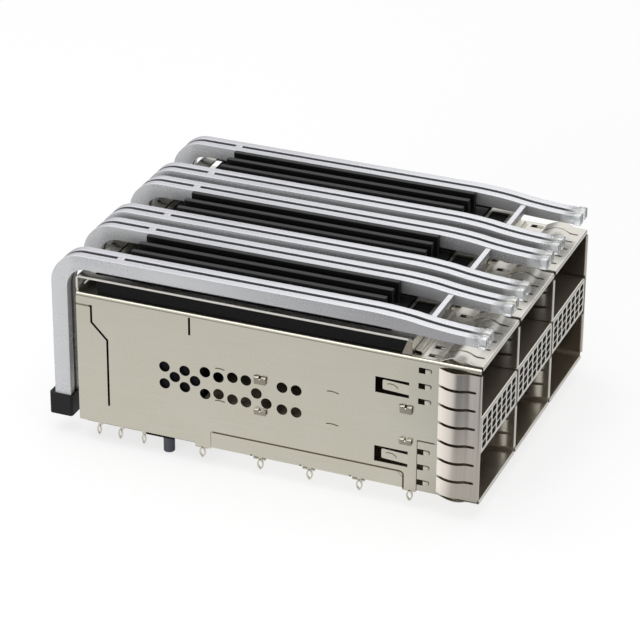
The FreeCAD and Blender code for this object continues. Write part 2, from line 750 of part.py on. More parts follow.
def make_cover():
    body = new_body("rear_cover")
    edge_x = half_width - s.sheet_thick - s.fit_gap
    top = ceiling - s.fit_gap
    corner = s.bend_inside
    plate = [(-edge_x, s.rear_clear), (edge_x, s.rear_clear), (edge_x, top - corner), (edge_x - corner, top),
             (corner - edge_x, top), (-edge_x, top - corner)]
    pad(body, sketch(body, "XZ_Plane", -back(0), plate), s.sheet_thick)
    side = box(back(s.cover_flange), back(s.sheet_thick / 2), s.rear_clear, top - corner)
    flange = pad(body, sketch(body, "YZ_Plane", -edge_x, side), s.sheet_thick)
    mirrored(body, flange)
    entry = s.cage_height - s.slit_entry
    relief = slit_path(s.slit_wide / 2 + s.slit_room, entry, entry)
    pocket(body, sketch(body, "YZ_Plane", 0, relief), half_width * 2)
    shelf = edge_x - s.bend_inside - s.cover_inset
    under = box(-shelf, shelf, back(s.cover_shelf), back(s.sheet_thick / 2))
    pad(body, sketch(body, "XY_Plane", top - s.sheet_thick, under), s.sheet_thick)
    catch_low = s.cage_height - s.catch_drop
    catch = [(back(s.sheet_thick / 2), catch_low), (back(-s.catch_deep), catch_low),
             (back(0), catch_low + s.catch_high), (back(s.sheet_thick / 2), catch_low + s.catch_high)]
    lances = []
    for side in (-catch_side, catch_side):
        flat = sketch(body, "YZ_Plane", column_places[0] + side, catch)
        lances.append(pad(body, flat, s.catch_half * 2, centred=True))
    repeated(body, lances, "X_Axis", s.column_pitch, columns)
    rise = (s.pin_cover_last - s.pin_cover_first) / 2
    root = s.rear_clear + s.sheet_thick
    places = [back(s.pin_cover_first + rise * number) for number in range(3)]
    pins = wall_pins(body, -edge_x, s.sheet_thick, places, root)
    mirrored(body, *pins)
    pins = []
    for side in (-s.pin_plate, s.pin_plate):
        loops = pin_loops(column_places[0] + side, root, eyed=False)
        pins.append(pad(body, sketch(body, "XZ_Plane", -back(0), *loops), s.sheet_thick))
    repeated(body, pins, "X_Axis", s.column_pitch, columns)
    return body


# Dividers between the columns

def make_divider(number, x):
    body = new_body("divider_{}".format(number))
    low, top = s.sheet_thick + s.fit_gap, ceiling - s.fit_gap
    set_back, flush = front(s.wall_front), front(s.separator_front)
    end = back(s.cover_shelf + s.fit_gap)
    outline = [
        (set_back, low), (end, low), (end, top), (set_back, top), (set_back, separator_top),
        (flush, separator_top), (flush, separator_low), (set_back, separator_low),
    ]
    half = s.divider_thick / 2
    pad(body, sketch(body, "YZ_Plane", 0, outline, *tab_slots(s.sheet_thick + s.tab_room * 2)),
        s.divider_thick, centred=True)
    places = [front(at) for at in [pin_front] + flap_pins] + [back(pin_foot), back(s.pin_cover_last)]
    wall_pins(body, -half, s.divider_thick, places, low + s.sheet_thick, eyed=False)
    place(body, x)
    return body


# Separators: folded channel with an air grille at the front

def make_separator(number, x):
    body = new_body("separator_{}".format(number))
    face = front(s.separator_front)
    half = separator_half
    pad(body, sketch(body, "XZ_Plane", -face - s.sheet_thick, box(-half, half, separator_low, separator_top)),
        s.sheet_thick)
    flange = box(-half, half, face, back(s.housing_front + s.separator_end))
    for level in (separator_low, separator_top - s.sheet_thick):
        pad(body, sketch(body, "XY_Plane", level, flange), s.sheet_thick)
    rounded(body, s.bend_inside,
            lambda edge, m: near(m.y, face) and (near(m.z, separator_low) or near(m.z, separator_top)))
    wide, high = s.grille_wide / 2, s.grille_high / 2
    hole_x = s.grille_edge + wide - half
    hole_z = separator_low + s.grille_edge_z + high
    step_x = -hole_x * 2 / (grille_across - 1)
    step_z = (mid_height - hole_z) * 2 / (grille_up - 1)
    hole = box(hole_x - wide, hole_x + wide, hole_z - high, hole_z + high)
    cut = pocket(body, sketch(body, "XZ_Plane", -face, hole), s.sheet_thick * 4)
    repeated(body, [cut], "X_Axis", step_x, grille_across, "Z_Axis", step_z, grille_up)

    # Tabs reach into the dividers, or through the outer wall, where they are clinched flat.
    into_divider = bay_half + s.divider_thick / 2 - s.fit_gap
    through_wall = bay_half + s.sheet_thick + s.fit_gap + s.tab_head_thick
    left = through_wall if number == 1 else into_divider
    right = through_wall if number == columns else into_divider
    tabs = []
    for at in (front(tab_front), back(s.tab_back)):
        tabs.append(box(-left, s.sheet_thick - half, at - s.tab_long / 2, at + s.tab_long / 2))
        tabs.append(box(half - s.sheet_thick, right, at - s.tab_long / 2, at + s.tab_long / 2))
    for level in (separator_low, separator_top - s.sheet_thick):
        pad(body, sketch(body, "XY_Plane", level, *tabs), s.sheet_thick)
    outside = bay_half + s.sheet_thick + s.fit_gap
    heads = []
    for at in (front(tab_front), back(s.tab_back)):
        for level in (separator_low + s.sheet_thick / 2, separator_top - s.sheet_thick / 2):
            heads.append(box(at - s.tab_long / 2, at + s.tab_long / 2,
                             level - s.tab_head / 2, level + s.tab_head / 2))
    if number == 1:
        pad(body, sketch(body, "YZ_Plane", -through_wall, *heads), s.tab_head_thick)
    if number == columns:
        pad(body, sketch(body, "YZ_Plane", outside, *heads), s.tab_head_thick)
    place(body, x)
    return body


# Spring finger strips. Drawn with x behind the front edge, y out from the sheet and z along the strip.

def facing(outward, along):
    backward = FreeCAD.Vector(0, 1, 0)
    return FreeCAD.Rotation(backward, FreeCAD.Vector(*outward), FreeCAD.Vector(*along), "XYZ")


left_turn = facing((-1, 0, 0), (0, 0, 1))
right_turn = facing((1, 0, 0), (0, 0, -1))
top_turn = facing((0, 0, 1), (1, 0, 0))
bottom_turn = facing((0, 0, -1), (-1, 0, 0))


def bow_radius(start, end, bow):
    half = (end - start) / 2
    return (half * half + bow * bow) / (bow * 2)


def slit_strip(body, width, fingers, start, end, depth):
    # Slits run between the fingers and leave the leg on the other side of the sheet whole.
    step = width / fingers
    slit = box(start, end, step - s.finger_slit / 2, step + s.finger_slit / 2)
    cut = pocket(body, sketch(body, "XZ_Plane", -depth, slit), s.finger_bow * 2 + s.sheet_thick)
    if fingers > 2:
        repeated(body, [cut], "Z_Axis", step, fingers - 1)


def make_strip(label, width, fingers, cut_from=None, cut_to=None):
    body = new_body(label)
    thick = s.spring_thick
    over, under = s.spring_gap, -s.sheet_thick - s.spring_gap
    above = over + thick
    line = [
        (s.finger_back, 0), (s.finger_back - s.shoulder_set, s.shoulder_rise),
        (s.finger_back - s.crown_set, s.finger_bow), (s.finger_back - s.hem_set, s.hem_rise),
    ]
    outline = [(at, above + rise) for at, rise in line]
    outline += [
        (0, above + s.hem_rise), (0, under - thick), (s.inner_back, under - thick), (s.inner_back, under),
        (thick, under), (thick, over + s.hem_rise),
    ]
    outline += [(at, over + rise) for at, rise in reversed(line)]
    pad(body, sketch(body, "XY_Plane", 0, outline), width)
    if cut_from is not None:
        gone = box(s.spring_thick, s.finger_back, under - s.finger_bow * 2, under / 2)
        middle = (cut_from + cut_to) / 2
        pocket(body, sketch(body, "XY_Plane", middle, gone), cut_to - cut_from)
    slit_strip(body, width, fingers, s.spring_hem, s.finger_back + 1, s.finger_bow)
    return body


def make_divider_strip(label, x, low, high):
    body = new_body(label)
    thick = s.spring_thick
    inner = s.divider_thick / 2 + s.spring_gap
    outer = inner + thick
    bow = bow_radius(s.spring_hem, s.inner_back, s.inner_bow)
    outline = [
        (s.inner_back, outer, bow), (s.spring_hem, outer), (0, outer), (0, -outer),
        (s.spring_hem, -outer, bow), (s.inner_back, -outer), (s.inner_back, -inner, -bow),
        (s.spring_hem, -inner), (thick, -inner), (thick, inner), (s.spring_hem, inner, -bow),
        (s.inner_back, inner),
    ]
    pad(body, sketch(body, "XY_Plane", 0, outline), high - low)
    slit_strip(body, high - low, divider_fingers, s.spring_hem, s.inner_back + 1, as_size(0))
    place(body, x, front(0), low, left_turn)
    return body


def make_strips():
    made = []
    low, high = s.side_strip_low, s.cage_height - s.side_strip_top
    keep_low, keep_high = separator_low - s.strip_clear, separator_top + s.strip_clear
    strip = make_strip("emi_spring_left", high - low, side_fingers, keep_low - low, keep_high - low)
    place(strip, -half_width, front(0), low, left_turn)
    made.append(strip)
    strip = make_strip("emi_spring_right", high - low, side_fingers, high - keep_high, high - keep_low)
    place(strip, half_width, front(0), high, right_turn)
    made.append(strip)
    top_half = bay_half - s.top_strip_gap
    for number, x in enumerate(column_places, 1):
        strip = make_strip("emi_spring_top_{}".format(number), top_half * 2, top_fingers)
        place(strip, x - top_half, front(0), s.cage_height, top_turn)
        made.append(strip)
        strip = make_strip("emi_spring_bottom_{}".format(number), top_half * 2, top_fingers)
        place(strip, x + top_half, front(0), 0, bottom_turn)
        made.append(strip)
    for number, x in enumerate(divider_places, 1):
        spans = {
            "upper": (keep_high, ceiling - s.divider_strip_end),
            "lower": (s.sheet_thick + s.divider_strip_end, keep_low),
        }
        for name, (low, high) in spans.items():
            made.append(make_divider_strip("emi_spring_divider_{}_{}".format(number, name), x, low, high))
    return made


# Heat sinks

def make_sink(number, x):
    body = new_body("heat_sink_{}".format(number))
    low = s.cage_height + s.sink_float
    foot = low - s.pedestal_deep
    half = port_half - s.pedestal_gap
    ends = (front(port_front + s.pedestal_set), back(s.port_back + s.pedestal_end))
    pedestal = box(-half, half, ends[0], ends[1])
    pad(body, sketch(body, "XY_Plane", foot, pedestal), s.pedestal_deep + s.sink_base / 2)
    bevelled(body, s.pedestal_chamfer,
             lambda edge, m: near(m.z, foot) and (near(m.y, ends[0]) or near(m.y, ends[1])))
    base = box(-sink_half, sink_half, front(sink_front), back(s.sink_back))
    pad(body, sketch(body, "XY_Plane", low, base), s.sink_base)
    block_half = clip_inner - s.block_gap
    step = box(-block_half, block_half, front(block_front), back(block_back))
    pad(body, sketch(body, "XY_Plane", low + s.sink_base, step), s.block_high)
    first = fin_step * (-(fins - 1) / 2)
    fin = box(first - s.fin_thick / 2, first + s.fin_thick / 2,
              front(block_front + s.fin_set), back(block_back + s.fin_end))
    blade = pad(body, sketch(body, "XY_Plane", low + s.sink_base + s.block_high, fin), s.fin_high)
    repeated(body, [blade], "X_Axis", fin_step, fins)
    place(body, x)
    return body


# Clips: a spring frame over the base, hooked under the lip and over the catches at the back

def make_clip(number, x):
    body = new_body("heat_sink_clip_{}".format(number))
    low = s.cage_height + s.sink_float + s.sink_base + s.fit_gap
    high = low + s.clip_thick
    rear = back(-s.clip_rear)
    frame = box(-clip_half, clip_half, front(clip_front), rear + s.clip_thick)
    window = box(-clip_inner, clip_inner, front(clip_bar), back(s.clip_rear_bar))
    bar_half = clip_inner - s.bar_side
    bar_window = box(-bar_half, bar_half, front(clip_front + s.bar_rim), front(clip_bar - s.bar_strip))
    pad(body, sketch(body, "XY_Plane", low, frame, window, bar_window), s.clip_thick)
    tongue_top = ceiling + s.lip_rise - s.fit_gap
    tongue_low = tongue_top - s.clip_thick
    tongue_half = lip_half - s.tongue_inset
    leg_back_y = front(clip_front + s.clip_thick)
    ear_in = sink_half + s.ear_gap
    ear_out = ear_in + s.clip_thick
    foot = s.cage_height + s.sink_float
    leg = [(-ear_out, high), (-ear_out, foot), (-tongue_half, foot), (-tongue_half, tongue_low),
           (tongue_half, tongue_low), (tongue_half, foot), (ear_out, foot), (ear_out, high)]
    pad(body, sketch(body, "XZ_Plane", -leg_back_y, leg), s.clip_thick)
    ear = [(front(clip_front), foot), (leg_back_y + s.ear_long, foot), (leg_back_y + s.ear_top, high),
           (front(clip_front), high)]
    mirrored(body, pad(body, sketch(body, "YZ_Plane", -ear_out, ear), s.clip_thick))
    tongue = box(-tongue_half, tongue_half, front(port_front + s.lip_slope + s.tongue_gap), leg_back_y)
    pad(body, sketch(body, "XY_Plane", tongue_low, tongue), s.clip_thick)
    apron = high - s.clip_apron
    leg_low = s.cage_height - s.clip_leg_low
    legs = [
        (-clip_half, high), (-clip_half, apron), (-clip_leg_out, apron), (-clip_leg_out, leg_low),
        (-clip_leg_in, leg_low), (-clip_leg_in, apron), (clip_leg_in, apron), (clip_leg_in, leg_low),
        (clip_leg_out, leg_low), (clip_leg_out, apron), (clip_half, apron), (clip_half, high),
    ]
    catch_low = s.cage_height - s.catch_drop
    half = s.catch_half + s.catch_room
    window_low, window_top = catch_low - s.fit_gap, catch_low + s.catch_high + s.catch_room
    windows = [box(x_mid - half, x_mid + half, window_low, window_top) for x_mid in (-catch_side, catch_side)]
    pad(body, sketch(body, "XZ_Plane", -rear - s.clip_thick, legs, *windows), s.clip_thick)
    rounded(body, s.clip_bend, lambda edge, m: near(m.z, high) and near(m.y, rear + s.clip_thick))
    place(body, x)
    return body


# Light pipes: two pairs for each column, from the board behind the cage to the front edge

def make_pipe(number, x):
    body = new_body("light_pipe_{}".format(number))
    top, under = s.cage_height + s.pipe_top, s.cage_height + s.pipe_under
    half_run = (s.pipe_level - s.pipe_low) / 2
    middle = front(s.pipe_low + half_run)

    def slope_radius(drop):
        return (half_run * half_run + drop * drop / 4) / drop

    upper, lower = slope_radius(s.pipe_drop_top), slope_radius(s.pipe_drop_under)
    leg_low = s.shoe_high - s.shoe_recess
    outer, inner = back(-s.pipe_back), back(-s.pipe_inside)
    run = [
        (front(0), top - s.pipe_drop_top), (front(s.pipe_low), top - s.pipe_drop_top, upper),
        (middle, top - s.pipe_drop_top / 2, -upper), (front(s.pipe_level), top),
        (outer - s.pipe_bend, top, -s.pipe_bend), (outer, top - s.pipe_bend), (outer, leg_low),
        (inner, leg_low), (inner, under - s.pipe_bend_in, s.pipe_bend_in), (inner - s.pipe_bend_in, under),
        (front(s.pipe_level), under, lower), (middle, under - s.pipe_drop_under / 2, -lower),
        (front(s.pipe_low), under - s.pipe_drop_under), (front(0), under - s.pipe_drop_under),
    ]
    lens_low = s.cage_height + s.lens_low
    end = box(front(0), front(s.lens_long), lens_low, lens_low + s.lens_high)
    pieces = []
    for edge in (-pipe_outer, s.pipe_step - pipe_outer):
        pieces.append(pad(body, sketch(body, "YZ_Plane", edge, run), s.pipe_wide))
        lens = sketch(body, "YZ_Plane", edge - s.lens_extra, end)
        pieces.append(pad(body, lens, s.pipe_wide + s.lens_extra * 2))
    mirrored(body, *pieces)
    bar_low = s.cage_height + s.bar_under
    bar = [
        (front(s.bar_front), bar_low), (front(s.bar_front), s.cage_height + s.bar_nose),
        (front(s.bar_ridge), s.cage_height + s.bar_top), (front(s.bar_back), s.cage_height + s.bar_top),
        (front(s.bar_back), bar_low),
    ]
    pad(body, sketch(body, "YZ_Plane", 0, bar), pipe_outer * 2 - s.pipe_wide / 4, centred=True)
    bridge = box(back(s.bridge_back + s.bridge_long), back(s.bridge_back),
                 under + s.bridge_under, top - s.bridge_top)
    flat = sketch(body, "YZ_Plane", s.pipe_wide / 4 - pipe_outer, bridge)
    link = pad(body, flat, s.pipe_step + s.pipe_wide / 2)
    mirrored(body, link)
    place(body, x)
    return body


# Feet that hold the light pipe legs over the board

def make_shoe(number, x):
    body = new_body("light_pipe_foot_{}".format(number))
    centre = (pipe_inner + pipe_outer) / 2
    room = (s.pipe_step + s.pipe_wide) / 2 + s.shoe_room
    half = room + s.shoe_wall
    near_face, far_face = s.shoe_room - s.pipe_inside, -s.pipe_back - s.shoe_room
    block = box(-half, half, back(near_face + s.shoe_wall_front), back(far_face - s.shoe_wall_back))
    pad(body, sketch(body, "XY_Plane", 0, block), s.shoe_high)
    bevelled(body, s.shoe_chamfer, lambda edge, m: near(m.z, s.shoe_high / 2))
    seat = box(-room, room, back(near_face), back(far_face))
    pocket(body, sketch(body, "XY_Plane", s.shoe_high, seat), (s.shoe_recess + s.fit_gap) * 2)
    side = centre if number % 2 == 0 else -centre
    place(body, x + side)
    return body


# Connector housings with card slots and guide posts

def make_housing(number, x):
    body = new_body("connector_housing_{}".format(number))
    top = s.cage_height - s.housing_top
    block = box(back(s.housing_front), back(s.housing_back), s.fit_gap, top)
    half = bay_half - s.housing_gap
    nose_half = half - s.nose_inset
    pad(body, sketch(body, "YZ_Plane", 0, block), half * 2, centred=True)
    spans = [(s.sheet_thick + s.nose_room, separator_low - s.nose_room),
             (separator_top + s.nose_room, ceiling - s.nose_room)]
    noses = [box(back(s.nose_front), back(s.housing_front - 1), low, high) for low, high in spans]
    pad(body, sketch(body, "YZ_Plane", 0, *noses), nose_half * 2, centred=True)
    slots = []
    for low, high in spans:
        level = (low + high) / 2
        slots.append(box(back(s.nose_front + 1), back(s.nose_front - s.slot_deep),
                         level - s.slot_high / 2, level + s.slot_high / 2))
    pocket(body, sketch(body, "YZ_Plane", 0, *slots), (nose_half - s.slot_wall) * 2)
    side = half - s.post_inset
    posts = [ring(-side, back(s.post_back), s.post_radius), ring(side, back(s.post_back), s.post_radius)]
    pad(body, sketch(body, "XY_Plane", -s.post_reach, *posts), s.post_reach + 1)
    place(body, x)
    return body


def make_all():
    made = [make_shell(), make_pan(), make_cover()]
    for number, x in enumerate(divider_places, 1):
        made.append(make_divider(number, x))
    made += make_strips()
    for number, x in enumerate(column_places, 1):
        made.append(make_separator(number, x))
        made.append(make_sink(number, x))
        made.append(make_clip(number, x))
        made.append(make_pipe(number, x))
        made.append(make_shoe(number * 2 - 1, x))
        made.append(make_shoe(number * 2, x))
        made.append(make_housing(number, x))
    return made


bodies = make_all()
document.recompute()
for thing in document.Objects:
    if "Invalid" in thing.State or "Error" in thing.State:
        raise ValueError("{} is not built: {}".format(thing.Name, thing.State))
os.makedirs("parts", exist_ok=True)
for body in bodies:
    shape = body.Shape
    if shape.isNull() or not shape.isValid():
        raise ValueError(body.Label + " has no sound shape")
    shape.exportStep("parts/{}.step".format(body.Label))
    print(body.Label, len(shape.Solids), "solids", round(shape.Volume, 2), "mm3")
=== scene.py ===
import json
import math
import bmesh
import bpy
from mathutils import Matrix, Vector


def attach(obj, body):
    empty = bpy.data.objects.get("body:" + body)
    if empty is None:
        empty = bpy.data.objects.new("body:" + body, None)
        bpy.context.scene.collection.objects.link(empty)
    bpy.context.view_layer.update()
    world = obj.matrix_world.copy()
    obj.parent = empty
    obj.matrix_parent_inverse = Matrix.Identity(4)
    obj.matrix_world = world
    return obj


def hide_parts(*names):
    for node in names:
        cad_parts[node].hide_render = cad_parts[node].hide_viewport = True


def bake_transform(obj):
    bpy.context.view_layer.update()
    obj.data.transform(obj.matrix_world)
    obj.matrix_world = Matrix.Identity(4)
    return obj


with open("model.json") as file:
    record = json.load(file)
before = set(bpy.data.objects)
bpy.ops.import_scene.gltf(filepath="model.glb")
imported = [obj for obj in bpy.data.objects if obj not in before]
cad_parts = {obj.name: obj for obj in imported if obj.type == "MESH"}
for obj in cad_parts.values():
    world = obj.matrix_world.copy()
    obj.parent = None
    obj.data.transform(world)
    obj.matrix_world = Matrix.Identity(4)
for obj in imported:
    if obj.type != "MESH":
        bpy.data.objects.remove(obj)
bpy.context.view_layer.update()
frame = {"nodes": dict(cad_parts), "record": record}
nodes = frame["nodes"]
mm = 0.001

# the whole cage, in millimetres: x across the columns, y front to back, z up from the board
cage = {"length": 76.9, "halfWidth": 29.8, "height": 26.4, "sheet": 0.3, "pitch": 19.8,
        "separatorLow": 9.6, "separatorTop": 16.8}
frontY = -cage["length"] / 2
backY = cage["length"] / 2
columnX = [cage["pitch"] * share for share in (-1, 0, 1)]
dividerX = [cage["pitch"] * share for share in (-0.5, 0.5)]
sides = ((-1, "left"), (1, "right"))
back, up, right = Vector((0, 1, 0)), Vector((0, 0, 1)), Vector((1, 0, 0))
print("frame loaded,", len(nodes), "nodes")


# materials

noiseSpan = {"From Min": 0.3, "From Max": 0.7}   # where most of a noise pattern's values lie


def linear(code):
    parts = [int(code[at:at + 2], 16) / 255 for at in (1, 3, 5)]
    return [p / 12.92 if p <= 0.04045 else ((p + 0.055) / 1.055) ** 2.4 for p in parts] + [1.0]


def addNode(tree, kind, inputs=None, out=0, stops=(), **settings):
    # gives back the output that is asked for, or all of them
    node = tree.nodes.new("ShaderNode" + kind)
    for name, value in settings.items():
        setattr(node, name, value)
    for name, value in (inputs or {}).items():
        if isinstance(value, bpy.types.NodeSocket):
            tree.links.new(value, node.inputs[name])
        else:
            node.inputs[name].default_value = value
    for element, (at, code) in zip(node.color_ramp.elements if stops else (), stops):
        element.position = at
        element.color = linear(code)
    return node.outputs if out is None else node.outputs[out]


def newMaterial(name, **sockets):
    material = bpy.data.materials.new(name)
    material.use_nodes = True
    tree = material.node_tree
    shader = tree.nodes["Principled BSDF"]
    for socket, value in sockets.items():
        shader.inputs[socket.replace("_", " ")].default_value = value
    place = addNode(tree, "TexCoord", out="Object")
    return material, tree, shader, place


def wire(tree, shader, **sockets):
    for socket, value in sockets.items():
        tree.links.new(value, shader.inputs[socket.replace("_", " ")])


def perMetre(size):   # pattern scale for a feature of this many millimetres
    return 1 / (size * mm)


def surface(tree, shader, tone, dark, light, sheen, roughLow, roughHigh, relief=None, strength=0.0, depth=0.0):
    # colour and roughness each follow a pattern, and a relief of this depth in millimetres bends the light
    colour = addNode(tree, "ValToRGB", {"Fac": tone}, stops=((0.3, dark), (0.7, light)))
    rough = addNode(tree, "MapRange", {"Value": sheen, "To Min": roughLow, "To Max": roughHigh, **noiseSpan})
    wire(tree, shader, Base_Color=colour, Roughness=rough)
    if relief is not None:
        bump = addNode(tree, "Bump", {"Height": relief, "Strength": strength, "Distance": depth * mm})
        wire(tree, shader, Normal=bump)


def rolledSheet(name, dark, light, roughLow, roughHigh, grain, streak, along, metal=1.0):
    # cold rolled sheet under nickel plate: an even satin face, faint streaks along the roll, cloudy plating
    material, tree, shader, place = newMaterial(name, Metallic=metal)
    across = [perMetre(streak)] * 3
    across["xyz".index(along)] = perMetre(streak * 45)
    stretched = addNode(tree, "Mapping", {"Vector": place, "Scale": across})
    lines = addNode(tree, "TexNoise", {"Vector": stretched, "Scale": 1.0, "Detail": 3.0})
    clouds = addNode(tree, "TexNoise", {"Vector": place, "Scale": perMetre(9), "Detail": 4.0})
    pits = addNode(tree, "TexNoise", {"Vector": place, "Scale": perMetre(grain), "Detail": 2.0})
    both = addNode(tree, "Math", {0: lines, 1: clouds}, operation="ADD")
    half = addNode(tree, "Math", {0: both, 1: 0.5}, operation="MULTIPLY")
    relief = addNode(tree, "Math", {0: lines, 1: pits}, operation="ADD")
    surface(tree, shader, half, dark, light, half, roughLow, roughHigh, relief, 0.015, 0.02)
    return material


# satin nickel on the stamped cage sheets, streaks drawn at 0.35 mm so that they show
nickelSatin = rolledSheet("nickelPlatedSteelSatin", "#bdb9ab", "#c6c3b6", 0.24, 0.32, 0.25, 0.35, "y")
# copper alloy strip under bright nickel, polished by its rolls: clear soft reflections
nickelBright = rolledSheet("nickelPlatedStripBright", "#c4bbb0", "#cfc8be", 0.16, 0.22, 0.2, 0.3, "z")
# spring steel of the clips, blank and slightly greyer than the cage
springSteel = rolledSheet("springSteelBlank", "#c6c3bc", "#d6d4cd", 0.16, 0.24, 0.2, 0.3, "y")
# painted light: a paler copy of the plate for the grille plates, top sheet and flat strips
nickelPaintedLight = rolledSheet("nickelPlatedPaintedLight", "#dedbd2", "#e8e5dd", 0.2, 0.28, 0.25, 0.35, "x")
# painted shade: a darker, browner copy of the plate for faces inside the ports, dull so that it scatters what little
# light comes in
nickelPortShade = rolledSheet("nickelPlatedSteelPortShade", "#7d7365", "#9a9080", 0.42, 0.55, 0.25, 0.35, "z", 0.25)
# painted shade: a darker copy of the plate for the folded tabs and the clip ears, also rougher where hammered over
nickelPaintedShade = rolledSheet("nickelPlatedSteelPaintedShade", "#857f73", "#a09a8e", 0.3, 0.42, 0.2, 0.3, "z")


def shadedAlong(material, axis, start, end, code):
    # the colour drifts to another between two places
    tree = material.node_tree
    colour = tree.nodes["Principled BSDF"].inputs["Base Color"]
    along = addNode(tree, "SeparateXYZ", {0: addNode(tree, "TexCoord", out="Object")}, axis)
    share = addNode(tree, "MapRange", {"Value": along, "From Min": start * mm, "From Max": end * mm})
    first = colour.links[0].from_socket
    tree.links.new(addNode(tree, "Mix", {"Factor": share, 6: first, 7: linear(code)}, 2, data_type="RGBA"), colour)


shadedAlong(nickelBright, "Y", frontY + 4.6, frontY + 7.2, "#ece4db")   # painted highlight: the fingers turn lighter towards their tips
shadedAlong(nickelPortShade, "Z", 9, 17, "#4c443a")   # the upper ports get less light and look browner


def makeAnodised(name, shine):
    # extruded aluminium, black anodised: deep black, soft sheen, fine die lines along the fins
    material, tree, shader, place = newMaterial(name, Specular_IOR_Level=shine)
    stretched = addNode(tree, "Mapping", {"Vector": place, "Scale": (perMetre(0.4), perMetre(25), perMetre(0.4))})
    lines = addNode(tree, "TexNoise", {"Vector": stretched, "Scale": 1.0, "Detail": 3.0})
    specks = addNode(tree, "TexNoise", {"Vector": place, "Scale": perMetre(0.6), "Detail": 4.0})
    relief = addNode(tree, "Math", {0: lines, 1: specks}, operation="ADD")
    surface(tree, shader, specks, "#09090a", "#0f0f10", lines, 0.36, 0.5, relief, 0.12, 0.03)
    return material


def makePipePlastic():
    # clear polycarbonate, injection moulded: glassy grey sides that show what lies behind, frosted tops, tips
    # polished clear;
    # painted light: tops paler than the sides, painted highlights on the edges, painted shade in the grooves between
    # the twin rails
    material, tree, shader, place = newMaterial("polycarbonateClearMoulded", IOR=1.58)
    flow = addNode(tree, "Mapping", {"Vector": place, "Scale": (perMetre(2.5), perMetre(30), perMetre(2.5))})
    waves = addNode(tree, "TexNoise", {"Vector": flow, "Scale": 1.0, "Detail": 2.0})
    frost = addNode(tree, "TexNoise", {"Vector": place, "Scale": perMetre(0.22), "Detail": 1.0})
    mixed = addNode(tree, "Mix", {"Factor": 0.25, 2: waves, 3: frost})
    facing = addNode(tree, "SeparateXYZ", {0: addNode(tree, "TexCoord", out="Normal")}, None)
    at = addNode(tree, "SeparateXYZ", {0: place}, None)
    outward = addNode(tree, "Math", {0: facing["X"]}, operation="ABSOLUTE")
    forward = addNode(tree, "Math", {0: facing["Y"], 1: -1.0}, operation="MULTIPLY")
    sideways = addNode(tree, "Math", {0: outward, 1: forward}, operation="MAXIMUM")
    spans = [("side", sideways, 0.8, 0.98), ("rounded", sideways, 0.05, 0.2),
             ("tip", at["Y"], (frontY + 4) * mm, (frontY + 1.6) * mm), ("ahead", at["Y"], 20 * mm, -20 * mm),
             ("leg", at["Y"], (backY + 0.5) * mm, (backY + 2) * mm)]
    share = {name: addNode(tree, "MapRange", {"Value": value, "From Min": start, "From Max": end})
             for name, value, start, end in spans}
    # painted highlight: the rounded edges between top and flank turn almost white
    notSide = addNode(tree, "Math", {0: 1.0, 1: share["side"]}, operation="SUBTRACT")
    edge = addNode(tree, "Math", {0: share["rounded"], 1: notSide}, operation="MULTIPLY")
    # painted shade: the flanks that face the narrow gap between the twin rails turn dark
    reach = cage["pitch"] / 2 * mm
    column = addNode(tree, "Math", {0: at["X"], 1: reach, 2: -reach}, operation="WRAP")
    fromMiddle = addNode(tree, "Math", {0: column}, operation="ABSOLUTE")
    groove = addNode(tree, "Math", {0: fromMiddle, 1: 6.625 * mm, 2: 0.5 * mm}, operation="COMPARE")
    grooveShade = addNode(tree, "Math", {0: groove, 1: share["side"]}, operation="MULTIPLY")
    # painted light: the tops paler than the flanks and paler still in front, the flanks paler on the legs and darker
    # in front
    tops = addNode(tree, "ValToRGB", {"Fac": mixed}, stops=((0.35, "#bebec4"), (0.65, "#c8c8ce")))
    tops = addNode(tree, "Mix", {"Factor": share["ahead"], 6: tops, 7: linear("#e0e1e5")}, 2, data_type="RGBA")
    flanks = addNode(tree, "ValToRGB", {"Fac": mixed}, stops=((0.35, "#a7a8aa"), (0.65, "#b2b3b5")))
    for factor, code in ((share["leg"], "#b8b9bb"), (share["ahead"], "#88888a")):
        flanks = addNode(tree, "Mix", {"Factor": factor, 6: flanks, 7: linear(code)}, 2, data_type="RGBA")
    colour = addNode(tree, "Mix", {"Factor": share["side"], 6: tops, 7: flanks}, 2, data_type="RGBA")
    for factor, code in ((edge, "#e4e5e8"), (grooveShade, "#67686c"), (share["tip"], "#eceef0")):
        colour = addNode(tree, "Mix", {"Factor": factor, 6: colour, 7: linear(code)}, 2, data_type="RGBA")
    clear = addNode(tree, "MapRange", {"Value": share["side"], "To Min": 0.1, "To Max": 0.22})
    clearest = addNode(tree, "Math", {0: clear, 1: share["tip"]}, operation="MAXIMUM")
    rough = addNode(tree, "MapRange", {"Value": mixed, "To Min": 0.24, "To Max": 0.32, **noiseSpan})
    bump = addNode(tree, "Bump", {"Height": mixed, "Strength": 0.03, "Distance": 0.04 * mm})
    wire(tree, shader, Base_Color=colour, Transmission_Weight=clearest, Roughness=rough, Normal=bump)
    return material


def makeBlackPlastic(name, dark, light, roughLow, roughHigh, grain, depth, shine):
    # glass filled plastic from a spark eroded mould: fine even grain, no gloss
    material, tree, shader, place = newMaterial(name, IOR=1.5, Specular_IOR_Level=shine)
    fine = addNode(tree, "TexNoise", {"Vector": place, "Scale": perMetre(grain), "Detail": 5.0})
    broad = addNode(tree, "TexNoise", {"Vector": place, "Scale": perMetre(4), "Detail": 2.0})
    surface(tree, shader, broad, dark, light, fine, roughLow, roughHigh, fine, 0.3, depth)
    return material


def makeGold():
    # phosphor bronze contacts, gold flashed: warm, smooth, wiped brighter in lines
    material, tree, shader, place = newMaterial("bronzeGoldFlashed", Metallic=1.0)
    stretched = addNode(tree, "Mapping", {"Vector": place, "Scale": (perMetre(0.1), perMetre(3), perMetre(0.4))})
    wipe = addNode(tree, "TexNoise", {"Vector": stretched, "Scale": 1.0, "Detail": 2.0})
    surface(tree, shader, wipe, "#b98f3e", "#dcb860", wipe, 0.18, 0.3)
    return material


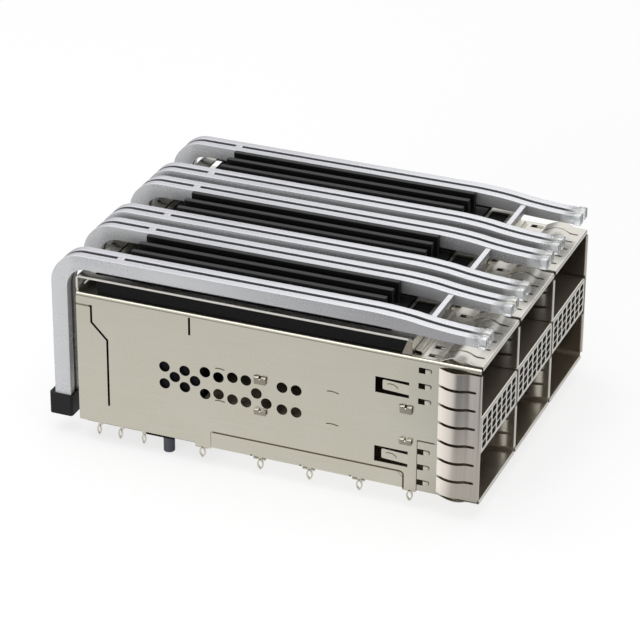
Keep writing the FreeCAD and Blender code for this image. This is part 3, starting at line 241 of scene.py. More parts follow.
def makePaintedCutShade():
    # painted shade: dull, brownish strips for the shade in open cuts and seams, broken by shear lines
    material, tree, shader, place = newMaterial("steelPaintedCutShade", Metallic=1.0)
    torn = addNode(tree, "TexNoise", {"Vector": place, "Scale": perMetre(0.2), "Detail": 4.0})
    surface(tree, shader, torn, "#564c3d", "#786c59", torn, 0.5, 0.7)
    return material


blackAnodised = makeAnodised("aluminiumBlackAnodised", 0.38)
sawnAnodised = makeAnodised("aluminiumBlackAnodisedSawn", 0.1)   # the base keeps dull sawn sides
pipePlastic = makePipePlastic()
footPlastic = makeBlackPlastic("nylonBlackMoulded", "#111113", "#18181a", 0.5, 0.62, 0.25, 0.03, 0.2)
housingPlastic = makeBlackPlastic("liquidCrystalPolymerBlack", "#0e0e11", "#151519", 0.6, 0.75, 0.3, 0.02, 0.06)
postPlastic = makeBlackPlastic("liquidCrystalPolymerGrey", "#3c3c44", "#484851", 0.5, 0.65, 0.3, 0.02, 0.2)
goldFlash = makeGold()
paintedCutShade = makePaintedCutShade()

slotMaterial = {"cage_sheet": nickelSatin, "spring_strip": nickelBright, "clip_sheet": springSteel,
                "heat_sink": blackAnodised, "light_pipe": pipePlastic, "foot": footPlastic, "housing": housingPlastic}
for row in frame["record"]["subparts"]:
    mesh = nodes[row["node"]].data
    mesh.materials.clear()
    # painted shade: the dividers take the darker port copy of the plate all over
    mesh.materials.append(nickelPortShade if row["node"].startswith("divider") else slotMaterial[row["material_slot"]])
print("materials ready")


# modelling helpers, all in millimetres

tiny = 0.001   # points this near are one


def kept(items, kind):
    return [item for item in items if isinstance(item, kind)]


def faceOut(shape):
    bmesh.ops.recalc_face_normals(shape, faces=shape.faces)
    return shape


def roundCorners(shape, points, radius, segments):
    bmesh.ops.bevel(shape, geom=points, offset=radius, offset_type="OFFSET", affect="VERTICES", segments=segments,
                    profile=0.5, material=-1)


def thickened(shape, step):
    made = bmesh.ops.extrude_face_region(shape, geom=shape.faces[:])["geom"]
    bmesh.ops.translate(shape, vec=step, verts=kept(made, bmesh.types.BMVert))
    return faceOut(shape)


def plateFrom(corners, x, width):
    # a side view (y, z, corner radius) made a slab that starts at x
    shape = bmesh.new()
    points = [shape.verts.new((x, y, z)) for y, z, radius in corners]
    shape.faces.new(points)
    for point, (y, z, radius) in zip(points, corners):
        if radius:
            roundCorners(shape, [point], radius, 14 if radius > 2 else 4)
    return thickened(shape, (width, 0, 0))


def blockFrom(low, high):
    shape = bmesh.new()
    bmesh.ops.create_cube(shape, size=1)
    size = [b - a for a, b in zip(low, high)]
    middle = [(a + b) / 2 for a, b in zip(low, high)]
    bmesh.ops.scale(shape, vec=size, verts=shape.verts)
    bmesh.ops.translate(shape, vec=middle, verts=shape.verts)
    return shape


def softenEdges(shape, width, segments, sharper=30):
    edges = [e for e in shape.edges if len(e.link_faces) == 2 and e.calc_face_angle() > math.radians(sharper)]
    bmesh.ops.bevel(shape, geom=edges, offset=width, offset_type="OFFSET", affect="EDGES", segments=segments,
                    profile=0.5, material=-1, clamp_overlap=True)


def objectFrom(name, shape):
    bmesh.ops.scale(shape, vec=(mm, mm, mm), verts=shape.verts)
    mesh = bpy.data.meshes.new(name)
    shape.to_mesh(mesh)
    shape.free()
    piece = bpy.data.objects.new(name, mesh)
    bpy.context.scene.collection.objects.link(piece)
    return piece


def addModifier(piece, kind, **settings):
    modifier = piece.modifiers.new(kind.lower(), kind)
    for name, value in settings.items():
        setattr(modifier, name, value)


def settleModifiers(piece):
    view = bpy.context.evaluated_depsgraph_get()
    final = bpy.data.meshes.new_from_object(piece.evaluated_get(view))
    piece.modifiers.clear()
    piece.data = final
    final.name = piece.name


def finishPiece(piece, material, body, stands=(), angle=40):
    mesh = piece.data
    mesh.materials.clear()
    mesh.materials.append(material)
    mesh.shade_smooth()
    mesh.set_sharp_from_angle(angle=math.radians(angle))
    if body:
        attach(piece, body)
    if stands:
        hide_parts(*stands)
    return piece


def addPiece(name, shape, material):
    return finishPiece(objectFrom(name, shape), material, "cage")


def refinish(piece, material, chosen):
    # another finish on the faces that are chosen by their middle and normal
    piece.data.materials.append(material)
    for face in piece.data.polygons:
        if chosen(face.center / mm, face.normal):
            face.material_index = len(piece.data.materials) - 1


def nodeCopy(name):
    # a node is loose triangles, so its copy is merged and its flats joined
    shape = bmesh.new()
    shape.from_mesh(nodes[name].data)
    bmesh.ops.scale(shape, vec=(1 / mm, 1 / mm, 1 / mm), verts=shape.verts)
    bmesh.ops.remove_doubles(shape, verts=shape.verts, dist=0.002)
    bmesh.ops.dissolve_limit(shape, angle_limit=math.radians(1), verts=shape.verts, edges=shape.edges)
    return shape


def withTools(piece, steps):
    # solids added to a piece or cut from it, one step after the other
    tools = []
    for operation, shape in steps:
        tools.append(objectFrom("tool", shape))
        addModifier(piece, "BOOLEAN", operation=operation, solver="EXACT", object=tools[-1])
    settleModifiers(piece)
    for tool in tools:
        bpy.data.objects.remove(tool)
    return piece


def merged(shapes):
    whole = bmesh.new()
    for shape in shapes:
        mesh = bpy.data.meshes.new("part")
        shape.to_mesh(mesh)
        shape.free()
        whole.from_mesh(mesh)
        bpy.data.meshes.remove(mesh)
    return whole


def flipped(shape, side):
    # a left hand shape made right handed
    if side > 0:
        bmesh.ops.scale(shape, vec=(-1, 1, 1), verts=shape.verts)
        faceOut(shape)
    return shape


def repeatedAt(shape, places):
    first = shape.verts[:] + shape.edges[:] + shape.faces[:]
    for place in places[1:]:
        copy = bmesh.ops.duplicate(shape, geom=first)["geom"]
        bmesh.ops.translate(shape, vec=place, verts=kept(copy, bmesh.types.BMVert))
    bmesh.ops.translate(shape, vec=places[0], verts=kept(first, bmesh.types.BMVert))


def axes(u, h, w, place):
    return Matrix.Translation(place) @ Matrix((u, h, w)).transposed().to_4x4()


# spring finger strips, drawn as u behind the front edge, h out from the sheet, w along the strip

springStrip = {"thickness": 0.12, "slit": 0.54, "bottomRise": 0.75, "sideFingers": 7, "topFingers": 6, "hemRow": 12,
               "sideLow": 0.9, "sideHigh": 25.4, "topHalf": 9.4, "separatorClear": 0.5}
# control points of the smoothed sheet, from the finger tips over the crown to the hem and round the front fold
fingerLine = [(7.8, 0.08), (7.3, 0.32), (6.85, 0.57), (6.3, 0.82), (5.6, 1.05), (4.85, 1.15), (4.1, 1.1), (3.5, 0.94),
              (3.0, 0.68), (2.6, 0.49), (2.2, 0.42), (1.5, 0.42), (0.85, 0.42), (0.45, 0.42), (0.14, 0.42),
              (0.06, 0.32), (0.06, -0.28), (0.12, -0.38), (0.8, -0.38), (3.5, -0.38), (6.3, -0.38)]


def drawnOn(shape, edges, step):
    made = bmesh.ops.extrude_edge_only(shape, edges=edges)["geom"]
    moved = kept(made, bmesh.types.BMVert)
    bmesh.ops.translate(shape, vec=step, verts=moved)
    ends = [e for e in kept(made, bmesh.types.BMEdge) if all(v in moved for v in e.verts)]
    return ends, kept(made, bmesh.types.BMFace)


def springSheet(line, width, fingers, slitsBefore, slitsAfter=99):
    # the line is drawn out finger by finger, and each slit is opened behind the hem
    shape = bmesh.new()
    chain = [shape.verts.new((u, h, 0)) for u, h in line]
    edges = [shape.edges.new(pair) for pair in zip(chain, chain[1:])]
    slit = springStrip["slit"]
    finger = (width - slit * (fingers - 1)) / fingers
    middles = [((u + v) / 2, (h + g) / 2) for (u, h), (v, g) in zip(line, line[1:])]
    opened = []
    for number in range(fingers * 2 - 1):
        for step in [slit] if number % 2 else [finger / 3] * 3:
            edges, faces = drawnOn(shape, edges, (0, 0, step))
            for face in faces if number % 2 else ():
                centre = face.calc_center_median()
                offsets = [abs(u - centre.x) + abs(h - centre.y) for u, h in middles]
                row = offsets.index(min(offsets))
                if row < slitsBefore or row >= slitsAfter:
                    opened.append(face)
    bmesh.ops.delete(shape, geom=opened, context="FACES")
    return shape


def springPiece(name, shape, turn, material):
    bmesh.ops.transform(shape, matrix=turn, verts=shape.verts)
    piece = objectFrom("spring_fingers_" + name, faceOut(shape))
    addModifier(piece, "SUBSURF", levels=2, render_levels=2, boundary_smooth="PRESERVE_CORNERS")
    addModifier(piece, "SOLIDIFY", thickness=springStrip["thickness"] * mm, offset=0)
    settleModifiers(piece)
    finishPiece(piece, material, "cage", ["emi_spring_" + name], 50)


def behindSeparator(face):
    # the inner leg stops clear of the separator
    middle = face.calc_center_median()
    clear = springStrip["separatorClear"]
    level = middle.z + springStrip["sideLow"]
    return middle.y < -0.3 and cage["separatorLow"] - clear < level < cage["separatorTop"] + clear


sideWidth = springStrip["sideHigh"] - springStrip["sideLow"]
for side, name in sides:
    sheet = springSheet(fingerLine, sideWidth, springStrip["sideFingers"], springStrip["hemRow"])
    bmesh.ops.delete(sheet, geom=[f for f in sheet.faces if behindSeparator(f)], context="FACES")
    place = (side * cage["halfWidth"], frontY, springStrip["sideLow"])
    springPiece(name, sheet, axes(back, right * side, up, place), nickelBright)
for number, x in enumerate(columnX, 1):
    for name, rise, outward, level in (("top", 1, up, cage["height"]), ("bottom", springStrip["bottomRise"], -up, 0)):
        line = [(u, h * rise) for u, h in fingerLine]
        half = springStrip["topHalf"]
        sheet = springSheet(line, half * 2, springStrip["topFingers"], springStrip["hemRow"])
        turn = axes(back, outward, right, (x - half, frontY, level))
        # painted light: the top and bottom strips take the paler copy of the plate
        springPiece("%s_%d" % (name, number), sheet, turn, nickelPaintedLight)

# strips over the dividers, above and below the separators
dividerStrip = {"fingers": 3, "slitRows": 5, "spans": {"upper": (16.95, 25.35), "lower": (1.05, 9.45)}}
halfLine = [(6.3, 0.28), (5.9, 0.34), (4.6, 0.66), (3.0, 0.66), (1.7, 0.34), (1.2, 0.28), (0.5, 0.28), (0.1, 0.28),
            (0.06, 0.2)]
dividerLine = halfLine + [(0.06, 0.0)] + [(u, -h) for u, h in reversed(halfLine)]
for number, x in enumerate(dividerX, 1):
    for level, (low, high) in dividerStrip["spans"].items():
        rows = dividerStrip["slitRows"]
        sheet = springSheet(dividerLine, high - low, dividerStrip["fingers"], rows, len(dividerLine) - 1 - rows)
        # painted light: the divider strips take the paler copy of the plate
        springPiece("divider_%d_%s" % (number, level), sheet, axes(back, right, up, (x, frontY, low)), nickelPaintedLight)
print("spring strips ready")


# separators: one folded sheet for each column, its front plate punched as an air grille

separator = {"half": 9.5, "front": 0.05, "bend": 0.2, "flangeEnd": 52.2, "across": 7, "up": 4, "cellWide": 2.6,
             "cellHigh": 1.46, "holeWide": 1.9, "holeHigh": 1.08, "corner": 0.4, "holeNear": 0.08, "shift": 0.1,
             "plateDeep": 0.6}


def separatorSheet(x):
    s = separator
    half = cage["sheet"] / 2
    shape = bmesh.new()
    bmesh.ops.create_grid(shape, x_segments=s["across"], y_segments=s["up"], size=0.5)
    bmesh.ops.scale(shape, vec=(s["cellWide"] * s["across"], s["cellHigh"] * s["up"], 1), verts=shape.verts)
    bmesh.ops.rotate(shape, matrix=Matrix.Rotation(math.radians(90), 3, "X"), verts=shape.verts)
    cells = shape.faces[:]
    margin = (s["cellHigh"] - s["holeHigh"]) / 2
    bmesh.ops.inset_individual(shape, faces=cells, thickness=margin)
    centres = [face.calc_center_median() for face in cells]
    narrow = s["holeWide"] / (s["cellWide"] - margin * 2)
    for face, centre in zip(cells, centres):
        bmesh.ops.scale(shape, vec=(narrow, 1, 1), space=Matrix.Translation(-centre), verts=face.verts)
    corners = [v for face in cells for v in face.verts]
    roundCorners(shape, corners, s["corner"], 3)
    holes = [f for f in shape.faces if any((f.calc_center_median() - c).length < s["holeNear"] for c in centres)]
    bmesh.ops.delete(shape, geom=holes, context="FACES")
    side = s["cellWide"] * s["across"] / 2
    rise = s["cellHigh"] * s["up"] / 2
    for sign in (-1, 1):
        ends = [e for e in shape.edges if all(abs(v.co.x - sign * side) < tiny for v in e.verts)]
        drawnOn(shape, ends, (sign * (s["half"] - side), 0, 0))
    middle = (cage["separatorLow"] + cage["separatorTop"]) / 2
    reach = (cage["separatorTop"] - cage["separatorLow"]) / 2 - half - s["bend"]
    for sign in (-1, 1):
        ends = [e for e in shape.edges if all(abs(v.co.z - sign * rise) < tiny for v in e.verts)]
        ends, faces = drawnOn(shape, ends, (0, 0, sign * (reach - rise)))
        folded = bmesh.ops.spin(shape, geom=ends, cent=(0, s["bend"], sign * reach), axis=(1, 0, 0),
                                angle=math.radians(-90 * sign), steps=4)
        ends = kept(folded["geom_last"], bmesh.types.BMEdge)
        drawnOn(shape, ends, (0, s["flangeEnd"] - s["front"] - half - s["bend"], 0))
    grid = [v for v in shape.verts if abs(v.co.y) < tiny and abs(v.co.z) < rise + tiny]
    bmesh.ops.translate(shape, vec=(0, 0, s["shift"]), verts=grid)
    bmesh.ops.translate(shape, vec=(x, frontY + s["front"] + half, middle), verts=shape.verts)
    bmesh.ops.remove_doubles(shape, verts=shape.verts, dist=tiny)
    return faceOut(shape)


for number, x in enumerate(columnX, 1):
    piece = objectFrom("separator_sheet_%d" % number, separatorSheet(x))
    addModifier(piece, "SOLIDIFY", thickness=cage["sheet"] * mm, offset=0)
    settleModifiers(piece)
    # painted shade: the separators take the darker port copy of the plate, and painted light: their front grille
    # plates the paler copy
    finishPiece(piece, nickelPortShade, "cage", ["separator_%d" % number], 35)
    refinish(piece, nickelPaintedLight, lambda middle, normal: middle.y < frontY + separator["plateDeep"])
print("separators ready")


# tabs of the separators, put through the walls and hammered down

clinch = {"long": 2.3, "proud": 0.6, "notch": 0.42, "notchDeep": 0.4, "u": (13.65, 41.1), "lean": 9, "edge": 0.07,
          "spans": ((15.25, 16.75), (9.1, 10.25))}


def clinchedHeads(side):
    c = clinch
    shapes = []
    for low, high in c["spans"]:
        long, notch, deep = c["long"] / 2, c["notch"] / 2, high - c["notchDeep"]
        outline = [(-long, low, 0.2), (long, low, 0.2), (long, high, 0.12), (notch, high, 0), (notch, deep, 0),
                   (-notch, deep, 0), (-notch, high, 0), (-long, high, 0.12)]
        shape = plateFrom(outline, -c["proud"], c["proud"])
        lean = Matrix.Rotation(math.radians(-c["lean"]), 3, "Y")
        bmesh.ops.rotate(shape, cent=(-c["proud"], 0, high), matrix=lean, verts=shape.verts)
        softenEdges(shape, c["edge"], 2, 50)
        repeatedAt(shape, [(-cage["halfWidth"], frontY + u, 0) for u in c["u"]])
        shapes.append(shape)
    return flipped(merged(shapes), side)


# hooks that hold the spring strips; the old values are those of the CAD sheet
hook = {"wide": 0.8, "long": 1.1, "thick": 0.2, "lift": 1.2, "edge": 0.03, "round": 0.8,
        "root": 10.32, "topRoot": 9.32, "levels": (2.02, 5.08, 8.14, 18.13, 21.17, 24.21),
        "topAcross": (-8.0, -4.8, -1.6, 1.6, 4.8, 8.0),
        "oldFront": 9.9, "oldLong": 1.2, "oldHigh": 1.15, "oldLevels": (1.88, 4.94, 8.0, 18.4, 21.46, 24.52),
        "windowLong": 1.25, "windowHigh": 1.1, "windowDeep": 0.8, "cut": 0.07, "cutUp": 0.06, "cutProud": 0.012}


def hookTabs(turn, places, grow, thick, lift):
    # round ended tongues whose tips stand a little off the sheet, drawn with x across and z outward
    half, reach = hook["wide"] / 2 + grow, hook["long"] + grow
    shape = bmesh.new()
    corners = [shape.verts.new((x, y, 0)) for x, y in ((half, 0), (-half, 0), (-half, -reach), (half, -reach))]
    shape.faces.new(corners)
    roundCorners(shape, corners[2:], half * hook["round"], 5)
    thickened(shape, (0, 0, thick))
    bmesh.ops.translate(shape, vec=(0, 0, -thick * 0.5), verts=shape.verts)
    bmesh.ops.rotate(shape, matrix=Matrix.Rotation(math.radians(-lift), 3, "X"), verts=shape.verts)
    faceOut(shape)
    if lift:
        softenEdges(shape, hook["edge"], 2, 50)
    bmesh.ops.transform(shape, matrix=turn, verts=shape.verts)
    repeatedAt(shape, places)
    return faceOut(shape)


def makeHookTongues(name, turn, places):
    tabs = hookTabs(turn, places, 0, hook["thick"], hook["lift"])
    addPiece("hook_tongues_" + name, tabs, nickelSatin)
    raised = [(x, y, z + hook["cutUp"] * (z < cage["height"])) for x, y, z in places]
    # painted shade: a slightly larger dark outline under each tongue stands for the shade in its cut
    cuts = hookTabs(turn, raised, hook["cut"], hook["cutProud"] * 2, 0)
    addPiece("hook_cut_shade_" + name, cuts, paintedCutShade)


# vents are placed from the back and from the middle of the wall
vent = {"radius": 1.04, "sides": 32, "punchLong": 70, "middle": 13.2,
        "places": [(42.6, 2.2), (42.6, -2.2), (39.9, 2.2), (39.9, -2.2), (36.9, -1.65), (35.0, 0.0), (33.0, 2.2),
                   (33.0, -2.2), (30.4, 2.2), (30.4, -2.2), (27.7, 1.7), (27.7, -1.7), (25.1, 2.2), (25.1, -2.2),
                   (23.15, 0.0), (21.15, 1.65), (21.15, -1.65), (19.2, 0.0), (17.2, 1.7), (17.2, -1.7)]}
latch = {"front": 13.25, "back": 19.5, "levels": (6.12, 19.85), "window": 3.1, "oldLevels": (6.05, 20.35),
         "oldWindow": 3.0, "windowDeep": 1.6, "fillAhead": 0.1, "fillBehind": 0.05, "tongue": 1.9, "root": 0.1,
         "free": 18.3, "lean": 0.42, "corner": 0.3}
pinTrim = {"half": 32, "beyond": 2, "low": -5, "high": -0.02}   # takes off the CAD pins, which are drawn anew


def ventTool():
    # punches through both walls
    shape = bmesh.new()
    bmesh.ops.create_cone(shape, cap_ends=True, segments=vent["sides"], radius1=vent["radius"],
                          radius2=vent["radius"], depth=vent["punchLong"])
    bmesh.ops.rotate(shape, matrix=Matrix.Rotation(math.radians(90), 3, "Y"), verts=shape.verts)
    repeatedAt(shape, [(0, backY - behind, vent["middle"] + rise) for behind, rise in vent["places"]])
    return shape


def pinCutter():
    t = pinTrim
    return blockFrom((-t["half"], frontY - t["beyond"], t["low"]), (t["half"], backY + t["beyond"], t["high"]))


def wallBlocks(spans, reach):
    # blocks (u from, u to, z from, z to) as deep as the sheet, or deeper, in both walls
    out = cage["halfWidth"] + (0 if reach is None else 0.5)
    deep = cage["halfWidth"] - (cage["sheet"] if reach is None else reach)
    return [blockFrom((near, frontY + start, low), (far, frontY + end, high))
            for start, end, low, high in spans for near, far in ((-out, -deep), (deep, out))]


def spansAt(levels, front, end, high):
    return [(front, end, level - high / 2, level + high / 2) for level in levels]


def insidePort(middle, normal):
    # a face that looks into the cage: a point before it is well within the walls
    ahead, margin = middle + normal * 4, 0.5
    return (abs(ahead.x) < cage["halfWidth"] - margin and frontY < ahead.y < backY - margin
            and margin < ahead.z < cage["height"] - margin)


def onTop(middle, normal):
    return normal.z > 0.95 and middle.z > cage["height"] - 0.05


def recut(name, fillers, cutters):
    # the CAD sheet with its holes closed and cut again, round and where the eye sees them
    steps = [(kind, merged(shapes)) for kind, shapes in (("UNION", fillers), ("DIFFERENCE", cutters)) if shapes]
    piece = withTools(objectFrom(name + "_sheet", nodeCopy(name)), steps)
    finishPiece(piece, nickelSatin, None, [name], 30)
    addModifier(piece, "WEIGHTED_NORMAL", keep_sharp=True)
    settleModifiers(piece)
    # painted shade on the faces inside the ports, painted light on the top faces
    refinish(piece, nickelPortShade, insidePort)
    refinish(piece, nickelPaintedLight, onTop)
    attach(piece, "cage")


room = 0.02   # the fillers overlap the sheet by this much
closing = spansAt(hook["oldLevels"], hook["oldFront"] - room, hook["oldFront"] + hook["oldLong"] + room,
                  hook["oldHigh"] + room * 2)
opening = spansAt(hook["levels"], hook["root"], hook["root"] + hook["windowLong"], hook["windowHigh"])
latchClosing = spansAt(latch["oldLevels"], latch["front"] - latch["fillAhead"], latch["back"] + latch["fillBehind"],
                       latch["oldWindow"])
latchOpening = spansAt(latch["levels"], latch["front"], latch["back"], latch["window"])
recut("cage_shell", wallBlocks(closing[3:] + latchClosing, None),
      [ventTool(), pinCutter()] + wallBlocks(opening[3:], hook["windowDeep"])
      + wallBlocks(latchOpening, latch["windowDeep"]))
recut("bottom_pan", wallBlocks(closing[:3], None), wallBlocks(opening[:3], hook["windowDeep"]) + [pinCutter()])
recut("rear_cover", [], [pinCutter()])

# press-in pins: long springy eyes that hang from pads of the sheet, placed as u behind the front edge
pin = {"top": 0.1, "tip": -2.22, "holeTop": -0.36, "point": 0.4, "rim": 0.22, "wide": 1.2, "coverWide": 0.84,
       "coverIn": 0.33, "wallAt": (12.78, 22.25, 31.73, 41.2, 52.5), "coverAt": (73.2, 68.95, 64.25),
       "padBehind": 1.4, "padAhead": 1.05, "padLow": -0.22, "padHigh": 0.1, "padEdge": 0.08,
       "notch": 0.3, "notchGap": 0.2, "notchUp": 0.28}


def eyePin(wide, x, places):
    p = pin
    shape = bmesh.new()
    loops = []
    for top, low, width in ((p["top"], p["tip"], wide), (p["holeTop"], p["tip"] + p["point"], wide - p["rim"] * 2)):
        shares = [step / 6 - 1 for step in range(13)]
        half = [(width / 2 * (1 - t * t) ** 0.85, (top + low) / 2 + (top - low) / 2 * t) for t in shares]
        ring = half + [(-y, z) for y, z in reversed(half[1:-1])]
        points = [shape.verts.new((0, y, z)) for y, z in ring]
        loops += [shape.edges.new(pair) for pair in zip(points, points[1:] + points[:1])]
    bmesh.ops.bridge_loops(shape, edges=loops)
    thickened(shape, (cage["sheet"], 0, 0))
    repeatedAt(shape, [(x, frontY + u, 0) for u in places])
    return shape


def eyePins(side):
    p = pin
    wall = -cage["halfWidth"]
    shapes = [eyePin(p["wide"], wall, p["wallAt"]), eyePin(p["coverWide"], wall + p["coverIn"], p["coverAt"])]
    for u in p["wallAt"]:
        pad = blockFrom((wall, frontY + u - p["padAhead"], p["padLow"]),
                        (wall + cage["sheet"], frontY + u + p["padBehind"], p["padHigh"]))
        softenEdges(pad, p["padEdge"], 2)
        shapes.append(pad)
    return flipped(merged(shapes), side)


# painted shade along bowed cuts that hold the sheets inside, crescents pressed in the latches, and the open seams
# round the pan's
# flanges: u, z along each line
lance = {"wide": 0.2, "pressWide": 0.16, "proud": 0.012,
         "cuts": [[(28.5, 16.55), (27.9, 16.65), (27.2, 16.62), (26.3, 16.42)],
                  [(28.6, 10.05), (27.9, 10.16), (27.2, 10.14), (26.3, 9.98)],
                  [(49.8, 16.6), (49.3, 16.72), (48.7, 16.7), (48.0, 16.55)],
                  [(49.9, 10.12), (49.3, 10.24), (48.7, 10.22), (48.0, 10.1)]],
         "crescents": [[(17.4, 20.1), (16.8, 20.26), (16.2, 20.22), (15.6, 19.95), (15.35, 19.6)],
                       [(17.4, 6.37), (16.8, 6.53), (16.2, 6.49), (15.6, 6.22), (15.35, 5.87)]],
         "seams": [(0.32, [(50.5, 3.49), (14.8, 3.49), (14.35, 3.38), (14.09, 3.12), (14.02, 2.75), (14.02, 0.1)]),
                   (0.12, [(11.54, 0.1), (11.54, 10.29)]), (0.26, [(11.54, 10.29), (8.4, 10.29)])]}
latchRoot, latchEnd = frontY + latch["front"] - latch["root"], frontY + latch["free"]


def padNotchShade(side):
    # painted shade: a dark square beside each pad, where the relief is torn open
    p = pin
    start = -cage["halfWidth"] - lance["proud"]
    shapes = []
    for u in p["wallAt"][1:4]:
        y = frontY + u + p["padBehind"] + p["notchGap"]
        shapes.append(blockFrom((start, y, p["notchUp"]),
                                (start + lance["proud"] * 2, y + p["notch"], p["notchUp"] + p["notch"])))
    return flipped(merged(shapes), side)


def leaned(shape):
    for v in shape.verts:
        v.co.x += latch["lean"] * (v.co.y - latchRoot) / (latchEnd - latchRoot)
    return shape


def latchTongues(side):
    # tongues that lean into the port to hold a module
    half, corner = latch["tongue"] / 2, latch["corner"]
    shapes = []
    for level in latch["levels"]:
        outline = [(latchRoot, level - half, 0), (latchEnd, level - half, corner), (latchEnd, level + half, corner),
                   (latchRoot, level + half, 0)]
        shapes.append(leaned(plateFrom(outline, -cage["halfWidth"], cage["sheet"])))
    return flipped(merged(shapes), side)


def lineStrip(line, wide):
    # a narrow band along a line on the wall
    x = -cage["halfWidth"] + lance["proud"]
    shape = bmesh.new()
    rows = []
    for at, point in enumerate(line):
        before, after = Vector(line[max(at - 1, 0)]), Vector(line[min(at + 1, len(line) - 1)])
        along = (after - before).normalized()
        step = Vector((-along.y, along.x)) * wide / 2
        rows.append([shape.verts.new((x, frontY + point[0] + step.x * s, point[1] + step.y * s)) for s in (-1, 1)])
    for first, second in zip(rows, rows[1:]):
        shape.faces.new((first[0], second[0], second[1], first[1]))
    return thickened(shape, (-lance["proud"] * 2, 0, 0))


def cutShadeLines(side):
    bands = [lineStrip(line, lance["wide"]) for line in lance["cuts"]]
    bands += [leaned(lineStrip(line, lance["pressWide"])) for line in lance["crescents"]]
    bands += [lineStrip(line, wide) for wide, line in lance["seams"]]
    return flipped(merged(bands), side)


wallPieces = [("latch_tongues_", latchTongues, nickelSatin), ("cut_shade_lines_", cutShadeLines, paintedCutShade),
              ("eye_pins_", eyePins, nickelSatin), ("pad_notch_shade_", padNotchShade, paintedCutShade)]
for side, name in sides:
    # painted shade: the heads take the darker copy of the plate, and painted highlight: their upward faces the paler
    # copy
    heads = addPiece("clinched_tabs_" + name, clinchedHeads(side), nickelPaintedShade)
    refinish(heads, nickelPaintedLight, lambda middle, normal: normal.z > 0.5)
    for label, make, material in wallPieces:
        addPiece(label + name, make(side), material)
    places = [(side * cage["halfWidth"], frontY + hook["root"], z) for z in hook["levels"]]
    makeHookTongues(name, axes(up * -side, back, right * side, (0, 0, 0)), places)
for number, x in enumerate(columnX, 1):
    places = [(x + across, frontY + hook["topRoot"], cage["height"]) for across in hook["topAcross"]]
    makeHookTongues("top_%d" % number, axes(right, back, up, (0, 0, 0)), places)
print("stamped features ready")


# contact springs in the card slots and their press-in tails under the housings: y, z and corner radius along each
# outline, the beam from the mouth and the slot's middle, half of the tail from its own middle

contact = {"pitch": 0.8, "count": 19, "wide": 0.38, "mouth": 46.3, "slotLevels": (4.95, 21.45), "tailWide": 0.2,
           "tailRows": (56.0, 58.4, 66.0, 68.4),
           "beam": [(11.6, 0.74, 0), (3.2, 0.44, 1.2), (1.7, 0.28, 0.3), (0.9, 0.5, 0.1), (0.95, 0.64, 0),
                    (1.7, 0.44, 0.2), (3.2, 0.6, 1.0), (11.6, 0.79, 0)],
           "tail": [(-0.112, 0.3, 0), (-0.112, -0.4, 0), (-0.24, -0.75, 0.2), (-0.208, -1.05, 0.2),
                    (-0.08, -1.12, 0.05)]}


def contactRows(x):
    # bowed beams over and under the card
    c = contact
    shape = plateFrom(c["beam"], 0, c["wide"])
    turned = bmesh.ops.duplicate(shape, geom=shape.verts[:] + shape.edges[:] + shape.faces[:])["geom"]
    bmesh.ops.scale(shape, vec=(1, 1, -1), verts=kept(turned, bmesh.types.BMVert))
    start = x - c["pitch"] * (c["count"] - 1) / 2 - c["wide"] / 2
    repeatedAt(shape, [(start + c["pitch"] * n, frontY + c["mouth"], level)
                       for level in c["slotLevels"] for n in range(c["count"])])
    return faceOut(shape)


def contactTails(x):
    c = contact
    outline = c["tail"] + [(-y, z, radius) for y, z, radius in reversed(c["tail"])]
    shape = plateFrom(outline, -c["tailWide"] / 2, c["tailWide"])
    start = x - c["pitch"] * (c["count"] - 1) / 2
    repeatedAt(shape, [(start + c["pitch"] * n, frontY + u, 0) for u in c["tailRows"] for n in range(c["count"])])
    return shape


for number, x in enumerate(columnX, 1):
    addPiece("card_contacts_%d" % number, contactRows(x), goldFlash)
    addPiece("contact_tails_%d" % number, contactTails(x), goldFlash)
print("contacts ready")


# light pipes: two pairs of rails for each column, joined by a bar in front and short links behind

lightPipe = {"top": 33.0, "under": 30.5, "wide": 1.62, "edges": (-8.7, -6.17, 4.55, 7.08), "levelAt": 22.0,
             "lowAt": 2.0, "ease": 5.5, "easeRound": 5.4, "dropTop": 1.45, "dropUnder": 0.6, "outer": 5.45,
             "inner": 2.35, "bend": 6.0, "bendInside": 4.0, "legLow": 2.8, "edge": 0.22,
             "lensLong": 1.45, "lensExtra": 0.1, "lensLow": 29.75, "lensHigh": 2.0, "lensEdge": 0.12,
             "barFrom": 10.6, "barTo": 11.6, "barLow": 30.6, "barHigh": 32.0, "barHalf": 5.4, "barEdge": 0.06,
             "linkAt": (-8.25, 5.05), "linkWide": 3.2, "linkFrom": 8.2, "linkTo": 6.8, "linkUp": 0.5,
             "linkDown": 0.04, "linkEdge": 0.1}


def pipeRun(x):
    p = lightPipe
    outer, inner = backY + p["outer"], backY + p["inner"]
    lowY, levelY, rounding = frontY + p["lowAt"] + p["ease"], frontY + p["levelAt"] - p["ease"], p["easeRound"]
    frontTop, frontUnder = p["top"] - p["dropTop"], p["under"] - p["dropUnder"]
    corners = [(frontY, frontTop, 0), (lowY, frontTop, rounding), (levelY, p["top"], rounding),
               (outer, p["top"], p["bend"]), (outer, p["legLow"], 0), (inner, p["legLow"], 0),
               (inner, p["under"], p["bendInside"]), (levelY, p["under"], rounding), (lowY, frontUnder, rounding),
               (frontY, frontUnder, 0)]
    shape = plateFrom(corners, x, p["wide"])
    softenEdges(shape, p["edge"], 3, 50)
    return shape


